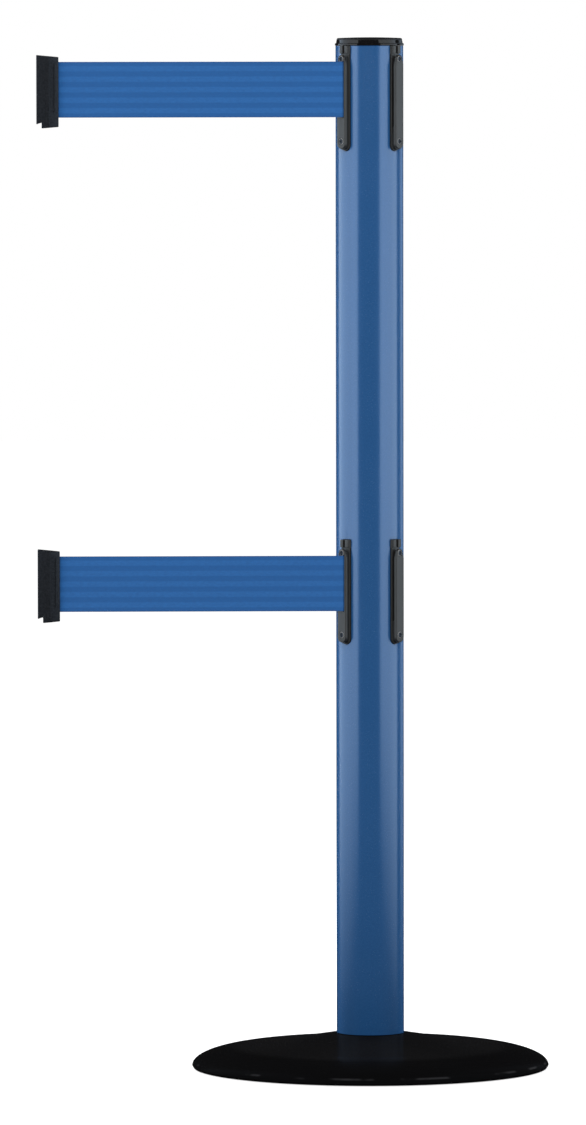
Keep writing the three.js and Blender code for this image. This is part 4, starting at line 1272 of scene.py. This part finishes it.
floor_paint = Finish("white floor", {
    "Roughness": 1.0,
    "Specular IOR Level": 0.0,
    "Emission Strength": 0.72,
})
floor_mottle = floor_paint.noise(600, detail=2)
floor_paint.set("Base Color", floor_paint.mix(floor_mottle, FLOOR_WHITE, FLOOR_PALE))
floor_paint.set("Emission Color", floor_paint.mix(floor_mottle, GLOW_WHITE, GLOW_PALE))
floor_shape = bmesh.new()
bmesh.ops.create_circle(floor_shape, cap_ends=True, segments=96, radius=FLOOR_REACH)
floor = solid("studio_floor", floor_shape)
floor.data.materials.append(floor_paint.material)
floor.visible_glossy = False
floor.visible_diffuse = False
floor.visible_shadow = False


def aimed(place, target):
    """The matrix that puts a lamp or a camera in its place and points it at a target."""
    turn = (target - place).to_track_quat("-Z", "Y").to_matrix().to_4x4()
    return Matrix.Translation(place) @ turn


def soft_light(name, place, target, width, height, radiance):
    """A rectangle of light, in metres, that the camera doesn't see."""
    light = bpy.data.lights.new(name, "AREA")
    light.shape = "RECTANGLE"
    light.size = width
    light.size_y = height
    light.energy = radiance * math.pi * width * height
    lamp = bpy.data.objects.new(name, light)
    bpy.context.scene.collection.objects.link(lamp)
    lamp.matrix_world = aimed(place, target)
    lamp.visible_camera = False
    return lamp


def soft_box(name, side, front, back, radiance, front_share, back_share):
    """A tall lamp to the left or right of the post, seen only in gloss and dimmer near the floor."""
    place = Vector((side * BOX_DISTANCE, (front + back) / 2, BOX_MIDDLE_HEIGHT))
    lamp = soft_light(name, place, place * Vector((0, 1, 1)), back - front, BOX_HEIGHT, radiance)
    lamp.visible_diffuse = False
    lamp.data.color = BOX_TINT
    glow = Shading(lamp.data, "Emission")
    spot = glow.node("ShaderNodeNewGeometry", output="Parametric")
    sideways, up = (
        glow.node("ShaderNodeSeparateXYZ", sockets={0: spot}, output=axis) for axis in ("X", "Y")
    )
    strong = FADE_STRONG * glow.step(up, FADE_STRONG_START, FADE_STRONG_END)
    weak = FADE_WEAK * glow.step(up, FADE_WEAK_START, FADE_WEAK_END)
    first, last = (front_share, back_share) if side > 0 else (back_share, front_share)
    glow.set("Strength", (strong + weak) * (first + (last - first) * glow.step(sideways, 0, 1)))


for name, side, front, back, radiance, front_share, back_share in (
    ("left soft box", -1, -0.95, 0.71, 3.5, 1.3, 0.9),
    ("right soft box", 1, -1.32, 0.20, 3.5, 1.2, 1.1),
    ("right rear soft box", 1, 0.60, 1.36, 0.85, 1.0, 1.0),
):
    soft_box(name, side, front, back, radiance, front_share, back_share)
key = soft_light("high soft light", KEY_PLACE, KEY_TARGET, width=2.2, height=1.4, radiance=4.2)
key.visible_glossy = False
for side in (-1, 1):
    place = REAR_PLACE * Vector((side, 1, 1))
    rear = soft_light("rear soft light", place, REAR_TARGET, width=1.0, height=1.6, radiance=10)
    rear.visible_glossy = False

world = bpy.data.worlds.new("even white light")
bpy.context.scene.world = world
room = Shading(world, "Background")
seen = room.node("ShaderNodeLightPath", output="Is Camera Ray")
in_gloss = room.node("ShaderNodeLightPath", output="Is Glossy Ray")
room.set("Color", (1, 1, 1, 1))
seen_change = (ROOM_SEEN - ROOM_LIGHT) * seen
room.set("Strength", ROOM_LIGHT + seen_change + (ROOM_IN_GLOSS - ROOM_LIGHT) * in_gloss)
bpy.context.scene.view_settings.view_transform = "Standard"

camera_data = bpy.data.cameras.new("camera")
camera_data.lens = 303.5
camera_data.sensor_width = 36
camera_data.clip_end = 60
camera = bpy.data.objects.new("camera", camera_data)
bpy.context.scene.collection.objects.link(camera)
camera.matrix_world = aimed(CAMERA_PLACE, CAMERA_TARGET) @ Matrix.Rotation(CAMERA_ROLL, 4, "Z")
bpy.context.scene.camera = camera
